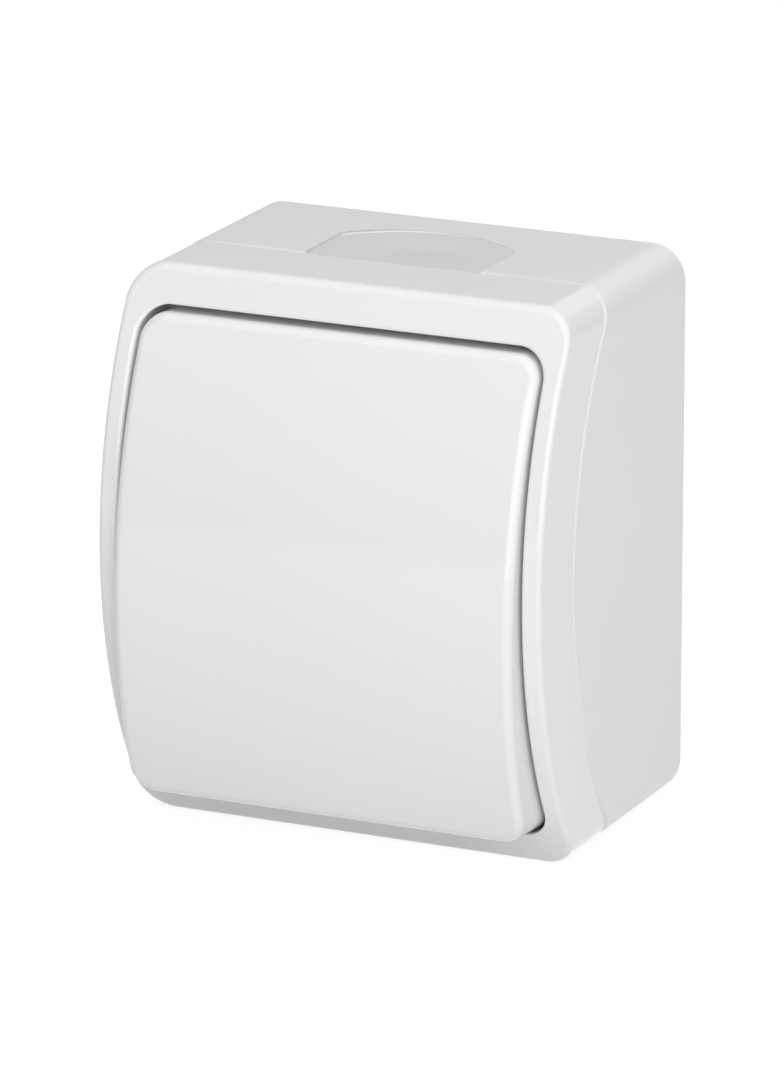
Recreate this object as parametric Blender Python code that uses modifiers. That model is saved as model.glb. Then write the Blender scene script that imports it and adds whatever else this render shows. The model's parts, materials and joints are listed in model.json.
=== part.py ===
"""A surface-mounted single-pole rocker switch, modelled as separate solids at real size, in metres.

X points right, Y points into the wall and Z points up. The origin is the middle of the flat back.
A depth is a distance out from the wall, so it is minus Y.
"""

import math

import bmesh
import bpy
from mathutils import Matrix, Vector

# Clearances
SEAT_GAP = 0.00025
PIN_PLAY = 0.00025
SIDE_PLAY = 0.0004
TIP_PLAY = 0.00025
KEY_SIDE_GAP = 0.00065
KEY_END_GAP = 0.0009
SKIRT_CLEARANCE = 0.0038

# Body outline and walls
BODY_WIDTH = 0.0710
BODY_HEIGHT = 0.0850
BODY_CORNER = 0.0054
WALL = 0.0022
BACK = 0.0025

# Bowed surfaces, all about the same height. A drop is how far the top edge falls back from the crown
BOW_Z = 0.00125
PARTING_CROWN = 0.0417
PARTING_DROP = 0.01434
FRONT_CROWN = 0.0535
FRONT_DROP = 0.012772
FRONT_FILLET = 0.0013

# Joint between box and frame
RIM_LIP = 0.0011
REBATE = 0.0030
TONGUE = 0.0016

# Window and floor of the frame
SIDE_RAIL = 0.0030
TOP_RAIL = 0.0055
BOTTOM_RAIL = 0.0051
WINDOW_CORNER = 0.0046
FLOOR = 0.0020
RAIL_FACE = 0.0024
CORE_SLOT = 0.0015
CORE_END = 0.0095

# Key
KEY_PROUD = 0.0025
KEY_DROP = 0.008194
KEY_FILLET = 0.0015
KEY_FACE = 0.0022
KEY_WALL = 0.0016
KEY_RIB = 0.0012
KEY_RIB_X = 0.0180
KEY_RIB_HEIGHT = 0.0025
KEY_LEG_WIDTH = 0.0080
KEY_LEG = 0.0014
KEY_HOOK = 0.0009
KEY_LANDING_Z = 0.0100
REST_TILT = math.radians(-4.0)

# Cradle, measured from its pivot
PIVOT_DROP = 0.0100
CRADLE_WIDTH = 0.0204
CRADLE_HEIGHT = 0.0300
CRADLE_PLATE = 0.0020
CRADLE_RISE = 0.0030
CHEEK = 0.0016
CHEEK_HEIGHT = 0.0080
CHEEK_REACH = 0.0030
TRUNNION_RADIUS = 0.0020
TRUNNION_LENGTH = 0.0024
TUBE_RADIUS = 0.0034
TUBE_BORE = 0.0022
TUBE_REACH = 0.0080
TUBE_ROOF = 0.0025

# Plunger and its spring
PLUNGER_PLAY = 0.0002
PLUNGER_SHOULDER = 0.0110
SPIGOT_RADIUS = 0.0009
SPIGOT_LENGTH = 0.0012
SPRING_WIRE = 0.00025
SPRING_TURNS = 5

# Contact blade, measured from its own pivot
BLADE_DROP = 0.0175
BLADE_TILT = math.radians(8.0)
BLADE_WIDTH = 0.0060
BLADE_LENGTH = 0.0210
BLADE_THICK = 0.0010
TAB_WIDTH = 0.0104
TAB_HEIGHT = 0.0020
CONTACT_ARM = 0.0088
MOVING_TIP_RADIUS = 0.0015
MOVING_TIP_HEIGHT = 0.0008
FIXED_TIP_HEIGHT = 0.0007

# Brass contacts and clamps
STRIP = 0.0012
STRIP_WIDTH = 0.0040
STRIP_DROP = 0.0080
FIXED_PAD_HALF = 0.0025
FORK_GAP = 0.0006
FORK_REACH = 0.0012
FORK_HEIGHT = 0.0060
TERMINAL_X = 0.0112
TERMINAL_Z = 0.0100
CLAMP_WIDTH = 0.0068
CLAMP_HEIGHT = 0.0060
CLAMP_WALL = 0.0010
CLAMP_MOUTH = 0.0036
CLAMP_HEADROOM = 0.0022

# Insulating blocks and strap
STRAP = 0.0012
STRAP_END_GAP = 0.0020
STRAP_HEIGHT = 0.0300
STRAP_OPENING_WIDTH = 0.0300
STRAP_OPENING_HEIGHT = 0.0250
STRAP_CORNER = 0.0030
STRAP_SCREW_INSET = 0.0038
BASE_WIDTH = 0.0350
BLOCK_HEIGHT = 0.0340
BASE_THICK = 0.0160
BLOCK_CORNER = 0.0012
CHAMBER_WIDTH = 0.0130
CHAMBER_HEIGHT = 0.0250
WIRE_HOLE_RADIUS = 0.0022
HOUSING_WIDTH = 0.0370
HOUSING_THICK = 0.0073
HOUSING_ROOF = 0.0030
PLUNGER_HOLE_RADIUS = 0.0045
ACCESS_HOLE_RADIUS = 0.0027
EAR = 0.0028
EAR_HEIGHT = 0.0100
EAR_OVER_PIVOT = 0.0034
SNAP_MOUTH = 0.8
HOOK_WIDTH = 0.0060
HOOK_THICK = 0.0014
HOOK_NIB = 0.0008
HOOK_REACH = 0.0070
BOOT_WALL = 0.0022

# Screws
SCREW_RADIUS = 0.00175
SCREW_HEAD_RADIUS = 0.0032
SCREW_HEAD = 0.0020
SCREW_LENGTH = 0.0120
STRAP_SCREW_LENGTH = 0.0096
STRAP_SCREW_HEAD_RADIUS = 0.0028
CLAMP_SCREW_RADIUS = 0.0013
CLAMP_SCREW_HEAD_RADIUS = 0.0023
SLOT_WIDTH = 0.0008
SLOT_DEPTH = 0.0009
FRAME_SCREW_FROM_SIDE = 0.0110
FRAME_SCREW_FROM_END = 0.0145
FRAME_SEAT = 0.0020
POST_RADIUS = 0.0036
POST_RIB = 0.0014
BOSS_WALL = 0.0012

# Holes of the box
FIXING_SLOT_WIDTH = 0.0050
FIXING_SLOT_LENGTH = 0.0100
FIXING_FROM_END = 0.0125
PAD_MARGIN = 0.0020
PAD_RISE = 0.0010
KNOCKOUT_RADIUS = 0.0080
KNOCKOUT_DEPTH_PLACE = 0.0160
KNOCKOUT_SKIN = 0.0010

# Gland in the top wall, whose two lengths run back from the box's front edge
GLAND_HALF_WIDTH = 0.0141
GLAND_SIDE_LENGTH = 0.01316
GLAND_LENGTH = 0.01956
GLAND_RECESS = 0.0003
GLAND_SKIN = 0.00065
GLAND_LEDGE = 0.0012
GLAND_FLANGE = 0.0012
GLAND_FLANGE_GRIP = 0.0006
GLAND_DISH_RADIUS = 0.0085
GLAND_DISH_FLOOR_RADIUS = 0.0070
GLAND_DISH_DEPTH = 0.0005
MEMBRANE = 0.0008
MEMBRANE_RADIUS = 0.0062

# A rounding just under half of a slot's width leaves a sound mesh, and a tool reaches well past what it cuts
NEARLY = 0.98
WELL_PAST = 1.5

# Fineness of the facets
DRUM_STEPS = 120
BOW_STEPS = 20
CORNER_STEPS = 5
FILLET_STEPS = 2
ROUND_STEPS = 24
ARC_STEPS = 16
COIL_STEPS = 10
SMOOTH_BELOW = math.radians(40)
SAME_PLACE = 1e-6
SAME_LINE = 1e-7

# Sizes that follow from those above
TOP_Z = BODY_HEIGHT / 2
PARTING_RADIUS = ((TOP_Z - BOW_Z) ** 2 + PARTING_DROP ** 2) / (2 * PARTING_DROP)
FRONT_RADIUS = ((TOP_Z - BOW_Z) ** 2 + FRONT_DROP ** 2) / (2 * FRONT_DROP)
TOP_EDGE_DEPTH = PARTING_CROWN - PARTING_DROP
WINDOW_X = BODY_WIDTH / 2 - SIDE_RAIL
WINDOW_LOW = BOTTOM_RAIL - BODY_HEIGHT / 2
WINDOW_HIGH = BODY_HEIGHT / 2 - TOP_RAIL
PIVOT_Z = (WINDOW_LOW + WINDOW_HIGH) / 2
KEY_CROWN = FRONT_CROWN + KEY_PROUD
PIVOT_DEPTH = KEY_CROWN - PIVOT_DROP
KEY_HALF_WIDTH = WINDOW_X - KEY_SIDE_GAP
KEY_HALF_HEIGHT = (WINDOW_HIGH - WINDOW_LOW) / 2 - KEY_END_GAP
KEY_RADIUS = (KEY_HALF_HEIGHT ** 2 + KEY_DROP ** 2) / (2 * KEY_DROP)
BLADE_DEPTH = PIVOT_DEPTH - BLADE_DROP
PLUNGER_REACH = BLADE_DROP - BLADE_THICK / 2 - TIP_PLAY
BASE_FRONT = BLADE_DEPTH - BLADE_THICK / 2 - 4 * SEAT_GAP
BASE_REAR = BASE_FRONT - BASE_THICK
STRAP_REAR = BASE_FRONT + SEAT_GAP
STRAP_FRONT = STRAP_REAR + STRAP
HOUSING_REAR = STRAP_FRONT + SEAT_GAP
HOUSING_FRONT = HOUSING_REAR + HOUSING_THICK
EAR_X = CRADLE_WIDTH / 2 + SIDE_PLAY
MOVING_TIP_DROP = BLADE_THICK / 2 + MOVING_TIP_HEIGHT + SEAT_GAP
CLOSED_TIP_DEPTH = (
    BLADE_DEPTH - CONTACT_ARM * math.sin(BLADE_TILT) - MOVING_TIP_DROP * math.cos(BLADE_TILT)
    - (MOVING_TIP_RADIUS + MOVING_TIP_DROP) * math.sin(BLADE_TILT)
)
PAD_FRONT = CLOSED_TIP_DEPTH - SEAT_GAP - FIXED_TIP_HEIGHT - SEAT_GAP
STRIP_REAR = BASE_FRONT - STRIP_DROP
STRIP_FRONT = STRIP_REAR + STRIP
CHAMBER_FLOOR = STRIP_REAR - SEAT_GAP
FORK_X = BLADE_WIDTH / 2 + FORK_GAP
CLAMP_REAR = STRIP_FRONT - CLAMP_MOUTH - CLAMP_WALL
CLAMP_FRONT = STRIP_FRONT + CLAMP_HEADROOM + CLAMP_WALL
GLAND_RISE = GLAND_LENGTH - GLAND_SIDE_LENGTH
GLAND_APEX = TOP_EDGE_DEPTH - GLAND_LENGTH
GLAND_RADIUS = (GLAND_HALF_WIDTH ** 2 + GLAND_RISE ** 2) / (2 * GLAND_RISE)
GLAND_LEDGE_DROP = GLAND_RECESS + GLAND_SKIN + SEAT_GAP
FIXING_Z = TOP_Z - FIXING_FROM_END
FRAME_SCREW_X = BODY_WIDTH / 2 - FRAME_SCREW_FROM_SIDE
FRAME_SCREW_Z = TOP_Z - FRAME_SCREW_FROM_END
STRAP_WIDTH = BODY_WIDTH - 2 * WALL - 2 * STRAP_END_GAP
STRAP_SCREW_X = STRAP_WIDTH / 2 - STRAP_SCREW_INSET


def clear_scene():
    for old in list(bpy.data.objects):
        bpy.data.objects.remove(old)


def new_collection(name):
    collection = bpy.data.collections.new(name)
    bpy.context.scene.collection.children.link(collection)
    return collection


def new_material(name, colour, roughness, metallic=0.0):
    material = bpy.data.materials.new(name)
    material.use_nodes = True
    surface = material.node_tree.nodes["Principled BSDF"]
    surface.inputs["Base Color"].default_value = (*colour, 1.0)
    surface.inputs["Roughness"].default_value = roughness
    surface.inputs["Metallic"].default_value = metallic
    return material


def point(x, depth, z):
    return Vector((x, -depth, z))


def bow_depth(crown, radius, z, bow_z=BOW_Z):
    """The depth at height z of an arc that stands furthest out, at its crown, at bow_z."""
    return crown - radius + math.sqrt(radius ** 2 - (z - bow_z) ** 2)


def either_side(half, middle=0.0):
    return middle - half, middle + half


def add_object(name, bm, place=(0.0, 0.0, 0.0), parent=None):
    mesh = bpy.data.meshes.new(name)
    bmesh.ops.recalc_face_normals(bm, faces=bm.faces)
    bm.to_mesh(mesh)
    bm.free()
    made = bpy.data.objects.new(name, mesh)
    made.location = place
    made.parent = parent
    PARTS.objects.link(made)
    return made


def add_pivot(name, place, tilt):
    """An empty on a joint's axis, turned to the pose at rest. Pieces that turn are its children."""
    pivot = bpy.data.objects.new(name, None)
    pivot.location = place
    pivot.rotation_euler = (tilt, 0.0, 0.0)
    pivot.empty_display_size = 0.01
    PARTS.objects.link(pivot)
    return pivot


def edges_along(bm, axis):
    """The edges of a box that run along one axis."""
    across = [n for n in range(3) if n != axis]
    found = []
    for edge in bm.edges:
        run = edge.verts[1].co - edge.verts[0].co
        if all(abs(run[n]) < SAME_LINE for n in across):
            found.append(edge)
    return found


def block_mesh(x, depth, z, corner=0.0, axis=1):
    """A box between (low, high) pairs, centred on itself, with its edges along one axis rounded."""
    size = Vector((x[1] - x[0], depth[1] - depth[0], z[1] - z[0]))
    bm = bmesh.new()
    bmesh.ops.create_cube(bm, size=1.0, matrix=Matrix.Diagonal((*size, 1.0)))
    if corner:
        bmesh.ops.bevel(
            bm, geom=edges_along(bm, axis), offset=corner, segments=CORNER_STEPS, profile=0.5, affect="EDGES"
        )
    return bm


def block(name, x, depth, z, corner=0.0, axis=1, parent=None):
    middle = point(sum(x) / 2, sum(depth) / 2, sum(z) / 2)
    return add_object(name, block_mesh(x, depth, z, corner, axis), middle, parent)


def rod(name, radius, x, depth, z, parent=None, tip_radius=None):
    """A cylinder or cone whose one range is a pair and whose other two places are numbers."""
    turns = {
        "x": Matrix.Rotation(math.pi / 2, 4, "Y"),
        "depth": Matrix.Rotation(math.pi / 2, 4, "X"),
        "z": Matrix.Identity(4),
    }
    ranges = {"x": x, "depth": depth, "z": z}
    along = next(key for key, value in ranges.items() if isinstance(value, tuple))
    low, high = ranges[along]
    ranges[along] = (low + high) / 2
    bm = bmesh.new()
    bmesh.ops.create_cone(
        bm, cap_ends=True, segments=ROUND_STEPS, radius1=radius,
        radius2=radius if tip_radius is None else tip_radius, depth=high - low, matrix=turns[along],
    )
    made = add_object(name, bm, point(ranges["x"], ranges["depth"], ranges["z"]), parent)
    smooth(made)
    return made


def smooth(made):
    made.data.shade_smooth()
    made.data.set_sharp_from_angle(angle=SMOOTH_BELOW)


def drum(name, crown, radius, bow_z=BOW_Z, parent=None):
    """A wide cylinder across the body whose front bulges out to the crown."""
    bm = bmesh.new()
    bmesh.ops.create_cone(
        bm, cap_ends=True, segments=DRUM_STEPS, radius1=radius, radius2=radius,
        depth=BODY_WIDTH * WELL_PAST, matrix=Matrix.Rotation(math.pi / 2, 4, "Y"),
    )
    return as_tool(add_object(name, bm, point(0.0, crown - radius, bow_z), parent))


def bowed_block(name, half_width, z, crown, radius, bow_z, thick, corner, fillet, parent=None):
    """A slab with rounded corners and a rounded front edge, whose front bows out in an arc about X."""
    bm = block_mesh(either_side(half_width), either_side(thick / 2), z, corner)
    middle = sum(z) / 2
    half_height = (z[1] - z[0]) / 2
    turn = math.pi / 2 / CORNER_STEPS
    ends = [half_height - corner + corner * math.sin(n * turn) for n in range(CORNER_STEPS)]
    straight = half_height - corner
    heights = [straight * (2 * n / BOW_STEPS - 1) for n in range(1, BOW_STEPS)]
    for height in heights + ends + [-end for end in ends]:
        bmesh.ops.bisect_plane(
            bm, geom=bm.verts[:] + bm.edges[:] + bm.faces[:], dist=SAME_LINE,
            plane_co=(0.0, 0.0, height), plane_no=(0.0, 0.0, 1.0),
        )
    bm.normal_update()
    rim = [edge for edge in bm.edges if len({face.normal.y < -0.5 for face in edge.link_faces}) == 2]
    bmesh.ops.bevel(bm, geom=rim, offset=fillet, segments=FILLET_STEPS, profile=0.5, affect="EDGES")
    for vert in bm.verts:
        vert.co.y += crown - bow_depth(crown, radius, middle + vert.co.z, bow_z)
    return add_object(name, bm, point(0.0, crown - thick / 2, middle), parent)


def turned(name, profile, place, parent=None):
    """A solid of revolution along the depth. Its profile lists (radius, distance out) from the front end."""
    mesh = bpy.data.meshes.new(name)
    bm = bmesh.new()
    rim = [bm.verts.new((radius, 0.0, out)) for radius, out in profile]
    for upper, lower in zip(rim, rim[1:]):
        bm.edges.new((upper, lower))
    bm.to_mesh(mesh)
    bm.free()
    made = bpy.data.objects.new(name, mesh)
    made.location = place
    made.rotation_euler = (math.pi / 2, 0.0, 0.0)
    made.parent = parent
    PARTS.objects.link(made)
    spin = made.modifiers.new("Turn", "SCREW")
    spin.axis = "Z"
    spin.steps = ROUND_STEPS
    spin.render_steps = ROUND_STEPS
    spin.use_merge_vertices = True
    spin.merge_threshold = SAME_PLACE
    spin.use_smooth_shade = True
    return made


def as_tool(tool):
    """Keeps a solid that only shapes others out of the render."""
    for collection in list(tool.users_collection):
        collection.objects.unlink(tool)
    CUTTERS.objects.link(tool)
    tool.hide_render = True
    tool.display_type = "WIRE"
    return tool


def combine(target, tool, operation):
    modifier = target.modifiers.new(f"{operation.title()} {tool.name}"[:60], "BOOLEAN")
    modifier.operation = operation
    modifier.solver = "EXACT"
    modifier.object = as_tool(tool)


def cut(target, *tools):
    for tool in tools:
        combine(target, tool, "DIFFERENCE")


def join(target, *tools):
    for tool in tools:
        combine(target, tool, "UNION")


def keep_inside(target, *tools):
    for tool in tools:
        combine(target, tool, "INTERSECT")


def body_block(name, inset, depth):
    """A block with the body's outline, set in by the same amount all round."""
    half_width = BODY_WIDTH / 2 - inset
    return block(name, either_side(half_width), depth, either_side(TOP_Z - inset), BODY_CORNER - inset)


def parting_drum(name, offset=0.0):
    """The bowed surface between box and frame, or one parallel to it."""
    return drum(name, PARTING_CROWN + offset, PARTING_RADIUS + offset)


def rim_space():
    """What is in front of the box's inner ledge: the room for the gasket and the frame's tongue."""
    space = body_block("rim_space", RIM_LIP, (BACK, FRONT_CROWN))
    cut(space, parting_drum("rim_ledge", -REBATE))
    return as_tool(space)


def frame_screw_places():
    return (("upper", -FRAME_SCREW_X, FRAME_SCREW_Z), ("lower", FRAME_SCREW_X, -FRAME_SCREW_Z))


def frame_seat_depth(z):
    """Where the head of a frame screw sits, level with the rear of the bowed floor at that height."""
    return bow_depth(PARTING_CROWN, PARTING_RADIUS, z)


def gland_outline(inset, front):
    """The gland's outline seen from above: straight sides that end in a wide arc towards the wall."""
    radius = GLAND_RADIUS - inset
    half = GLAND_HALF_WIDTH - inset
    centre = GLAND_APEX + GLAND_RADIUS
    sweep = math.asin(half / radius)
    arc = [sweep * (1 - 2 * n / ARC_STEPS) for n in range(ARC_STEPS + 1)]
    points = [(half, front)]
    points += [(radius * math.sin(turn), centre - radius * math.cos(turn)) for turn in arc]
    points.append((-half, front))
    return points


def flat_plate(name, outline, z):
    """A plate of (x, depth) outline between two heights, made as a filled curve."""
    curve = bpy.data.curves.new(name, "CURVE")
    curve.dimensions = "2D"
    curve.fill_mode = "BOTH"
    curve.extrude = (z[1] - z[0]) / 2
    spline = curve.splines.new("POLY")
    spline.points.add(len(outline) - 1)
    for knot, (x, depth) in zip(spline.points, outline):
        knot.co = (x, -depth, 0.0, 1.0)
    spline.use_cyclic_u = True
    drawn = bpy.data.objects.new(name + "_outline", curve)
    drawn.location = (0.0, 0.0, sum(z) / 2)
    CUTTERS.objects.link(drawn)
    graph = bpy.context.evaluated_depsgraph_get()
    mesh = bpy.data.meshes.new_from_object(drawn.evaluated_get(graph))
    bm = bmesh.new()
    bm.from_mesh(mesh)
    bmesh.ops.remove_doubles(bm, verts=bm.verts, dist=SAME_PLACE)
    made = add_object(name, bm, drawn.location)
    bpy.data.objects.remove(drawn)
    return made


def gland_plate(name, inset, z):
    return flat_plate(name, gland_outline(inset, PARTING_CROWN), z)


def rear_box():
    box = body_block("rear_box", 0.0, (0.0, PARTING_CROWN + SEAT_GAP))
    keep_inside(box, parting_drum("box_front"))
    cut(box, body_block("box_hollow", WALL, (BACK, FRONT_CROWN)), rim_space())
    add_frame_posts(box)
    add_strap_posts(box)
    add_fixing_slots(box)
    join(box, block("floor_rib", either_side(POST_RIB / 2), (BACK / 2, BACK + PAD_RISE),
                    either_side(FIXING_Z - FIXING_SLOT_LENGTH)))
    knockout = rod(
        "knockout", KNOCKOUT_RADIUS, 0.0, KNOCKOUT_DEPTH_PLACE, (KNOCKOUT_SKIN - TOP_Z, 2 * WALL - TOP_Z)
    )
    cut(box, knockout)
    ledge_z = TOP_Z - GLAND_LEDGE_DROP
    cut(box, gland_plate("gland_seat", 0.0, (ledge_z, TOP_Z + WALL)))
    cut(box, gland_plate("gland_way", GLAND_LEDGE, (TOP_Z - 2 * WALL, TOP_Z + WALL)))
    return box


def add_frame_posts(box):
    """Pillars for the frame's screws, each tied to the nearest side wall by a rib."""
    for name, x, z in frame_screw_places():
        top = frame_seat_depth(z) - FRAME_SEAT - SEAT_GAP
        join(box, rod(f"frame_post_{name}", POST_RADIUS, x, (BACK / 2, top), z))
        side = sorted((x, math.copysign(BODY_WIDTH / 2 - WALL / 2, x)))
        join(box, block(f"post_rib_{name}", tuple(side), (BACK / 2, top - POST_RADIUS),
                        either_side(POST_RIB / 2, z)))
        cut(box, rod(f"post_bore_{name}", SCREW_RADIUS + PIN_PLAY, x,
                     (top - SCREW_LENGTH, top + POST_RADIUS), z))


def add_strap_posts(box):
    """Pillars for the screws of the mechanism's strap."""
    top = STRAP_REAR - SEAT_GAP
    for name, x in (("left", -STRAP_SCREW_X), ("right", STRAP_SCREW_X)):
        join(box, rod(f"strap_post_{name}", POST_RADIUS, x, (BACK / 2, top), PIVOT_Z))
        side = sorted((x, math.copysign(BODY_WIDTH / 2 - WALL / 2, x)))
        join(box, block(f"strap_rib_{name}", tuple(side), (BACK / 2, top - POST_RADIUS),
                        either_side(POST_RIB / 2, PIVOT_Z)))
        cut(box, rod(f"strap_bore_{name}", SCREW_RADIUS + PIN_PLAY, x, (top - SCREW_LENGTH, top + POST_RADIUS),
                     PIVOT_Z))


def add_fixing_slots(box):
    """Two long holes for the wall screws, one upright and one level, each in a raised pad."""
    long_half = FIXING_SLOT_LENGTH / 2
    short_half = FIXING_SLOT_WIDTH / 2
    for name, half_x, half_z, z in (
        ("upper", short_half, long_half, FIXING_Z), ("lower", long_half, short_half, -FIXING_Z),
    ):
        join(box, block(f"pad_{name}", either_side(half_x + PAD_MARGIN), (BACK / 2, BACK + PAD_RISE),
                        either_side(half_z + PAD_MARGIN, z), short_half + PAD_MARGIN / 2))
        cut(box, block(f"slot_{name}", either_side(half_x), (-BACK, 2 * BACK + PAD_RISE),
                       either_side(half_z, z), short_half * NEARLY))


def front_frame():
    """The bowed surround. Its well holds the key, and its bowed floor closes the box behind it."""
    thick = FRONT_CROWN - TOP_EDGE_DEPTH + 2 * REBATE
    frame = bowed_block(
        "front_frame", BODY_WIDTH / 2, either_side(BODY_HEIGHT / 2), FRONT_CROWN, FRONT_RADIUS, BOW_Z,
        thick, BODY_CORNER, FRONT_FILLET,
    )
    cut(frame, parting_drum("frame_rear", SEAT_GAP))
    well = block("well", either_side(WINDOW_X), (BACK, 2 * FRONT_CROWN), (WINDOW_LOW, WINDOW_HIGH),
                 WINDOW_CORNER)
    cut(well, parting_drum("floor_front", SEAT_GAP + FLOOR))
    cut(frame, well)
    add_rail_slots(frame)
    add_tongue(frame)
    add_screw_seats(frame)
    half_x, half_z = boot_inside()
    cut(frame, block("floor_opening", either_side(half_x), (BACK, FRONT_CROWN), either_side(half_z, PIVOT_Z),
                     BLOCK_CORNER))
    return frame


def boot_inside():
    """Half the width and half the height of the way through the floor and the boot."""
    return HOUSING_WIDTH / 2 - BOOT_WALL - SEAT_GAP, BLOCK_HEIGHT / 2 - BOOT_WALL - 2 * SEAT_GAP


def add_rail_slots(frame):
    """Slots behind the top and bottom rails keep their walls thin."""
    for name, wall_z, inward in (("top", TOP_Z, -1), ("bottom", -TOP_Z, 1)):
        low, high = sorted((wall_z + inward * WALL, wall_z + inward * (WALL + CORE_SLOT)))
        slot = block(f"rail_slot_{name}", either_side(BODY_WIDTH / 2 - CORE_END), (BACK, FRONT_CROWN),
                     (low, high))
        keep_inside(slot, drum(f"rail_face_{name}", FRONT_CROWN - RAIL_FACE, FRONT_RADIUS - RAIL_FACE))
        cut(frame, slot)


def add_tongue(frame):
    """A thin wall round the frame's rear edge that plugs into the box."""
    reach = (BACK, FRONT_CROWN)
    tongue = body_block("tongue", RIM_LIP + SEAT_GAP, reach)
    keep_inside(tongue, parting_drum("tongue_root", 2 * SEAT_GAP))
    cut(tongue, body_block("tongue_inside", WALL, (0.0, 2 * FRONT_CROWN)), parting_drum("tongue_end", -TONGUE))
    join(frame, tongue)


def add_screw_seats(frame):
    for name, x, z in frame_screw_places():
        seat = frame_seat_depth(z)
        head = SCREW_HEAD_RADIUS + 2 * PIN_PLAY
        join(frame, rod(f"seat_boss_{name}", head + BOSS_WALL, x, (seat - FRAME_SEAT, seat + FRAME_SEAT), z))
        cut(frame, rod(f"seat_pocket_{name}", head, x, (seat, seat + 2 * POST_RADIUS), z))
        cut(frame, rod(f"seat_bore_{name}", SCREW_RADIUS + PIN_PLAY, x,
                       (seat - POST_RADIUS, seat + POST_RADIUS), z))


def frame_gasket():
    """The seal on the box's ledge, under the tongue."""
    gasket = body_block("frame_gasket", RIM_LIP + SEAT_GAP, (BACK, FRONT_CROWN))
    keep_inside(gasket, parting_drum("gasket_front", -TONGUE - SEAT_GAP))
    cut(gasket, body_block("gasket_inside", WALL, (0.0, 2 * FRONT_CROWN)),
        parting_drum("gasket_rear", -REBATE + SEAT_GAP))
    return gasket


def cable_gland():
    """The soft insert: a skin and a flange that grip the ledge of the notch, with a dish and a membrane."""
    skin_top = TOP_Z - GLAND_RECESS
    ledge = TOP_Z - GLAND_LEDGE_DROP
    flange_top = TOP_Z - WALL - SEAT_GAP
    flange_low = flange_top - GLAND_FLANGE
    gland = gland_plate("cable_gland", SEAT_GAP, (ledge + SEAT_GAP, skin_top))
    join(gland, gland_plate("gland_neck", GLAND_LEDGE + SEAT_GAP, (flange_low, skin_top - GLAND_SKIN / 2)))
    join(gland, gland_plate("gland_flange", -GLAND_FLANGE_GRIP, (flange_low, flange_top)))
    keep_inside(gland, parting_drum("gland_front"))
    cut(gland, rim_space())
    middle = (GLAND_APEX + TOP_EDGE_DEPTH) / 2
    flare = GLAND_DISH_RADIUS - GLAND_DISH_FLOOR_RADIUS
    cut(gland, rod("gland_dish", GLAND_DISH_FLOOR_RADIUS, 0.0, middle,
                   (skin_top - GLAND_DISH_DEPTH, skin_top + GLAND_DISH_DEPTH),
                   tip_radius=GLAND_DISH_RADIUS + flare))
    cut(gland, rod("gland_under", MEMBRANE_RADIUS, 0.0, middle,
                   (flange_low - GLAND_FLANGE, skin_top - GLAND_DISH_DEPTH - MEMBRANE)))
    return gland


def rocker_key(pivot):
    """The convex key, as a shell with ribs, and legs that clip round the ends of the cradle's plate."""
    crown = PIVOT_DROP
    span = either_side(KEY_HALF_HEIGHT)
    floor_crown = PARTING_CROWN + SEAT_GAP + FLOOR
    skirt_drop = floor_crown + SKIRT_CLEARANCE - PIVOT_DEPTH
    skirt_radius = PARTING_RADIUS + SEAT_GAP + FLOOR + SKIRT_CLEARANCE
    key = bowed_block(
        "rocker_key", KEY_HALF_WIDTH, span, crown, KEY_RADIUS, 0.0,
        crown + 2 * KEY_DROP, WINDOW_CORNER - KEY_SIDE_GAP, KEY_FILLET, pivot,
    )
    cut(key, drum("key_rear", skirt_drop, skirt_radius, 0.0, pivot))
    hollow = block(
        "key_hollow", either_side(KEY_HALF_WIDTH - KEY_WALL), (-PIVOT_DEPTH / 2, 2 * crown),
        either_side(KEY_HALF_HEIGHT - KEY_WALL), WINDOW_CORNER - KEY_SIDE_GAP - KEY_WALL, 1, pivot,
    )
    keep_inside(hollow, drum("key_face_rear", crown - KEY_FACE, KEY_RADIUS - KEY_FACE, 0.0, pivot))
    cut(key, hollow)
    add_key_ribs(key, pivot)
    add_key_legs(key, pivot)
    return key


def add_key_ribs(key, pivot):
    """Two long ribs stiffen the face, and two cross ribs land on the cradle's plate."""
    for name, x in (("left", -KEY_RIB_X), ("right", KEY_RIB_X)):
        rib = block(f"key_rib_{name}", either_side(KEY_RIB / 2, x), (-PIVOT_DROP, 2 * PIVOT_DROP),
                    either_side(KEY_HALF_HEIGHT - KEY_WALL / 2), 0.0, 1, pivot)
        outer = KEY_FACE / 2
        inner = KEY_FACE + KEY_RIB_HEIGHT
        keep_inside(rib, drum(f"rib_front_{name}", PIVOT_DROP - outer, KEY_RADIUS - outer, 0.0, pivot))
        cut(rib, drum(f"rib_rear_{name}", PIVOT_DROP - inner, KEY_RADIUS - inner, 0.0, pivot))
        join(key, rib)
    plate_front = CRADLE_RISE + CRADLE_PLATE
    for name, z in (("upper", KEY_LANDING_Z), ("lower", -KEY_LANDING_Z)):
        join(key, block(f"key_landing_{name}", either_side(CRADLE_WIDTH / 2), (plate_front + SEAT_GAP,
                        PIVOT_DROP - KEY_FACE / 2), either_side(KEY_RIB / 2, z), 0.0, 1, pivot))


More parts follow.
